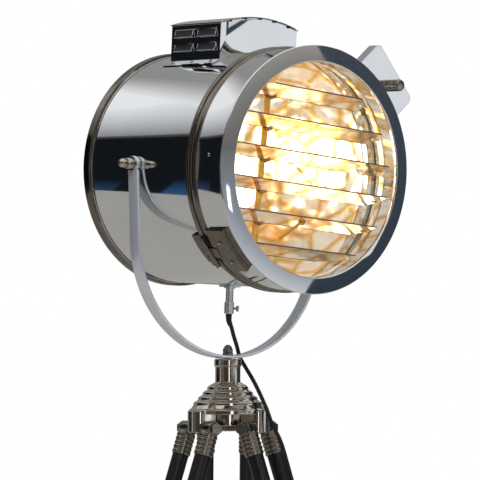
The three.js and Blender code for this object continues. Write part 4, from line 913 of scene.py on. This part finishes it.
# Raw rims of the louvres: the cut edge of each flap stays bright
LOUVRE_FOOT, LOUVRE_PITCH, LOUVRE_HALF, LOUVRE_MIDDLE, LOUVRE_APART = 191.7, 23, 23.2, -3, 30
rims = []
for side in (-1, 1):
    for foot in (LOUVRE_FOOT, LOUVRE_FOOT + LOUVRE_PITCH):
        for centre in (LOUVRE_MIDDLE - LOUVRE_APART, LOUVRE_MIDDLE + LOUVRE_APART):
            back, front = centre - LOUVRE_HALF, centre + LOUVRE_HALF
            corners = [
                Vector((side * 82.4, back, foot + 11.5)),
                Vector((side * 85.3, back, foot + 0.4)),
                Vector((side * 85.3, front, foot + 0.4)),
                Vector((side * 82.4, front, foot + 11.5)),
            ]
            rims += [tube([a, b], 0.7, 8) for a, b in zip(corners, corners[1:])]
piece("louvre_rims", rims, HEAD, polished_bar, "head", sharp=60)

# Latch, hinge and shutter: the CAD's shapes with finished edges
refined("latch_box", polished_sheet, "hood", 1.6, 30)
refined("hinge_plate", brushed_plate, "hood", 0.7, 30)
# The shutter ring and the blades use the sheets with painted glow.
refined("shutter_ring", reflector_sheet, "hood", 0.3, 40)
refined("tie_bar", brass_strip, "tie_bar", 0.25, 30)
refined("slat_lever", brass_strip, "slat_5", 0.2, 40)
SLAT_TOP, SLAT_PITCH, SLAT_HALF, SLAT_LEAN, SLAT_PLACE = 120.1, 51, 26, -16.5, -188
RING_INNER, END_GAP, HEM_RADIUS, HEM_INSET = 176, 3, 1.15, 0.965
for number in range(1, 7):
    slat = f"slat_{number}"
    refined(slat, blade_sheet, slat, 0.3, 30)
    height = SLAT_TOP - (number - 1) * SLAT_PITCH
    blade = (
        SHUTTER
        @ Matrix.Translation((0, SLAT_PLACE * MM, height * MM))
        @ Matrix.Rotation(math.radians(SLAT_LEAN), 4, "X")
    )
    for where, forward, hem in (("front", SLAT_HALF, front_hem), ("back", -SLAT_HALF, back_hem)):
        outwards = max(math.copysign(forward, height * forward), 0)
        half = math.sqrt(RING_INNER**2 - (abs(height) + outwards) ** 2) - END_GAP
        form = tube([Vector((x, -forward * HEM_INSET, 0)) for x in (1 - half, 0, half - 1)], HEM_RADIUS, 12)
        piece(f"{slat}_{where}_hem", [form], blade, hem, slat, sharp=60)

# Knurled latch knob
LATCH_ANGLE, FLUTES, KNOB_CREST, KNOB_ROOT = 48, 30, 9.9, 9.2
LATCH = HEAD @ Matrix.Rotation(math.radians(LATCH_ANGLE), 4, "Y")
KNOB = LATCH @ Matrix.Translation((7 * MM, -195.3 * MM, 229 * MM))
knurl = []
for k in range(2 * FLUTES):
    angle = TURN * k / (2 * FLUTES)
    reach = KNOB_CREST if k % 2 else KNOB_ROOT
    knurl.append((reach * math.cos(angle), reach * math.sin(angle)))
knob_forms = [
    stood(outline(knurl, 1.5, 29)),
    lathe(fillet([(0, 0), (8.6, 0, 0.4), (9.2, -1.6), (0, -1.6)]), 48, "Y"),
    lathe(fillet([(0, -28.8), (9.3, -28.8), (8.2, -31.6, 1.2), (0, -31.9)]), 48, "Y"),
]
piece("latch_knob_knurled", knob_forms, KNOB, aged_nickel, "latch_knob", ["latch_knob"], 25)

# Hinge leaf, its knuckles on the drum and the pin through them
HINGE_ANGLE, LEAF_WIDE, DRUM_RADIUS, KNUCKLE_Y, KNUCKLE_Z = -133, 56, 193, -146, 205.4
HINGE = HEAD @ Matrix.Rotation(math.radians(HINGE_ANGLE), 4, "Y")
leaf_shape = curved_plate(198, 192.6, math.radians(90), LEAF_WIDE / DRUM_RADIUS, 8)
hinge_forms = [stood(outline(leaf_shape, 112, 135.4))]
at_pin = Matrix.Translation((0, KNUCKLE_Y, KNUCKLE_Z))
for low, high in ((-28, -9.9), (9.9, 28)):
    barrel_profile = fillet([(2, low), (4.2, low, 0.5), (4.2, high, 0.5), (2, high)], closed=True)
    barrel = lathe(barrel_profile, 32, "X", closed=True)
    hinge_forms += [moved(barrel, at_pin), box((low, high), (-145, -130.5), (200.6, 204.6))]
hinge_forms.append(moved(lathe([(0, -27.6), (2, -27.6), (2, 27.6), (0, 27.6)], 24, "X"), at_pin))
piece("hinge_leaf", hinge_forms, HINGE, brushed_plate, "head", edge=0.4)

# Screws and rivets
leaf_spots = [((x, -122.5, 198), (0, 0, 1)) for x in (-17, 17)]
hinge_spots = [((x, -181, 203.1), (0, 0, 1)) for x in (-20, 20)]
flange_spots = [(around(194.8, angle, y), facing(angle)) for angle in (63, 117) for y in (-52, -3, 46)]
back_spots = [(around(174, 45 * k + 22.5, 130.9), (0, 1, 0)) for k in range(8)]
screws("hinge_leaf_screws", leaf_spots, HINGE, "head", 3.2, 2.2)
screws("hinge_plate_screws", hinge_spots, HINGE, "hood", 3.2, 2)
screws("vent_flange_screws", flange_spots, HEAD, "head", 3, 2)
screws("back_screws", back_spots, HEAD, "head", 3.4, 2.2)
rivet, _ = screw_head(2.8, 1.6)
rivets = [
    moved(rivet, Matrix.Translation(around(195.9, angle, -188)) @ aimed(facing(angle)))
    for angle in (-4, 86, 176, 266)
]
piece("hood_rivets", rivets, HEAD, plated_hardware, "hood")

# Floor, studio cards and lights; their sizes and places are metres
FLOOR_RADIUS, FLOOR_SIDES = 13, 96
floor_turns = [TURN * k / FLOOR_SIDES for k in range(FLOOR_SIDES)]
floor_rim = [(FLOOR_RADIUS * math.cos(a), FLOOR_RADIUS * math.sin(a), 0) for a in floor_turns]
floor = placed("floor", sheet("floor", floor_rim, [range(FLOOR_SIDES)]))
floor.data.materials.append(begin("pale studio floor", "c4c0b8", 0, 0.6)[0])

CARD_AT, CARD_GAP, CARD_COLUMNS, CARD_ROWS = 3.4, 0.05, 24, 8


def card(name, azimuths, elevations, colour, strength=1, layer=0, top=None):
    """A card or lit cloth round the head that only metal sees, one colour or fading to another at its top.

    Angles are in degrees and 0 is +X; a higher layer stands in front of the others."""
    distance = CARD_AT - layer * CARD_GAP
    points, faces = [], []
    for j in range(CARD_ROWS + 1):
        up = math.radians(elevations[0] + (elevations[1] - elevations[0]) * j / CARD_ROWS)
        for i in range(CARD_COLUMNS + 1):
            turn = math.radians(azimuths[0] + (azimuths[1] - azimuths[0]) * i / CARD_COLUMNS)
            aim = Vector((math.cos(up) * math.cos(turn), math.cos(up) * math.sin(turn), math.sin(up)))
            points.append(PIVOT + aim * distance)
            if i and j:
                here = len(points) - 1
                under = here - CARD_COLUMNS - 1
                faces.append((under - 1, under, here, here - 1))
    paint = bpy.data.materials.new(name)
    paint.use_nodes = True
    tree = paint.node_tree
    tree.nodes.clear()
    over = add(tree, "ShaderNodeTexCoord").outputs["Generated"]
    height = add(tree, "ShaderNodeSeparateXYZ", {"Vector": over}).outputs["Z"]
    fade = mixed(tree, height, colour, top or colour)
    glow = add(tree, "ShaderNodeEmission", {"Color": fade, "Strength": strength})
    add(tree, "ShaderNodeOutputMaterial", {"Surface": glow.outputs["Emission"]})
    paint.cycles.emission_sampling = "NONE"
    made = placed(name, sheet(name, points, faces))
    made.data.materials.append(paint)
    made.visible_camera = False
    made.visible_diffuse = False
    made.visible_shadow = False
    made.visible_volume_scatter = False


BAND_LOW, BAND_HIGH = -13, 21.8  # the dark band that the drum's side shows
card("card_behind_left", (104, 141), (BAND_LOW, BAND_HIGH), "15181c")
card("card_behind_left_blue", (104, 124), (BAND_LOW, -4), "34567f", layer=2, top="15181c")
card("card_behind_left_far_blue", (132, 141), (BAND_LOW, -6), "2a4260", layer=2, top="15181c")
card("card_behind_left_edge", (104, 141), (20.5, BAND_HIGH), "4a4a4b", layer=2)
card("card_behind_left_haze", (104, 141), (BAND_HIGH, 38), "949392", top="f7f8fa")
card("card_left", (141, 178), (-24, 50), "67605a")
card("strip_left", (158, 162), (-24, 40), "e9eef6", 1.2, 2)
card("card_behind_top", (40, 86), (8, 62), "9a9a99", layer=1)
FADE_STEP, FADE_RISE = 2.5, 0.4
for k, grey in enumerate(("a4a4a3", "afafae", "bababa", "c6c6c5", "d2d2d2", "dedede", "eaeaea", "f4f4f4")):
    start = 86 + FADE_STEP * k
    card(f"card_behind_top_fade_{k}", (start, start + FADE_STEP), (BAND_HIGH + FADE_RISE * k, 62), grey)
card("card_behind_right", (20, 104), (BAND_LOW, BAND_HIGH), "8f908e")
card("card_right_dark", (-50, 20), (-30, 40), "323a46", top="4d545b")
card("card_front_grey", (-100, -50), (0.5, 34), "726f6b", top="bcb8b3")
card("card_front_middle", (-100, -50), (-9, 0.5), "969da6", top="787a7e")
card("card_front_light", (-100, -50), (-24, -9), "dcdce0", top="9aa1aa")
card("card_camera_side", (-165, -100), (-24, 30), "4a453e")
card("card_far_left", (178, 195), (-24, 40), "6f6d6a")
card("strip_near_camera", (-121, -114), (-20, 34), "ffffff", 2.4, 2)
card("strip_front", (-72, -69.5), (-9, -5), "f4f7ff", 3, 2)
card("card_latch", (-60, -40), (-10, 6), "eef0f3", layer=3)


LIT_PLACE = Vector((0, 0, 1))


def softbox(name, where, size, power):
    """A large soft lamp that lights the object but doesn't show in its metal."""
    made = placed(name, bpy.data.lights.new(name, "AREA"))
    made.data.shape = "RECTANGLE"
    made.data.size, made.data.size_y = size
    made.data.energy = power
    made.location = where
    look(made, LIT_PLACE - made.location)
    made.visible_glossy = False


softbox("key_softbox", (-2.2, -1.6, 3.4), (2, 2), 60)
softbox("fill_softbox", (2.6, -1.8, 2.2), (1.6, 2), 30)

# World: soft even light on the object, and plain white for the camera, metal and glass
world = bpy.data.worlds.new("studio")
bpy.context.scene.world = world
world.use_nodes = True
sky = world.node_tree
sky.nodes.clear()
rays = add(sky, "ShaderNodeLightPath").outputs
seen = summed(sky, rays["Is Camera Ray"], rays["Is Glossy Ray"])
seen = summed(sky, seen, rays["Is Transmission Ray"], use_clamp=True)
soft = add(sky, "ShaderNodeBackground", {"Color": tint("f4f5f7"), "Strength": 0.62}).outputs["Background"]
white = add(sky, "ShaderNodeBackground", {"Color": tint("ffffff"), "Strength": 1}).outputs["Background"]
both = add(sky, "ShaderNodeMixShader", {0: seen, 1: soft, 2: white})
add(sky, "ShaderNodeOutputWorld", {"Surface": both.outputs["Shader"]})
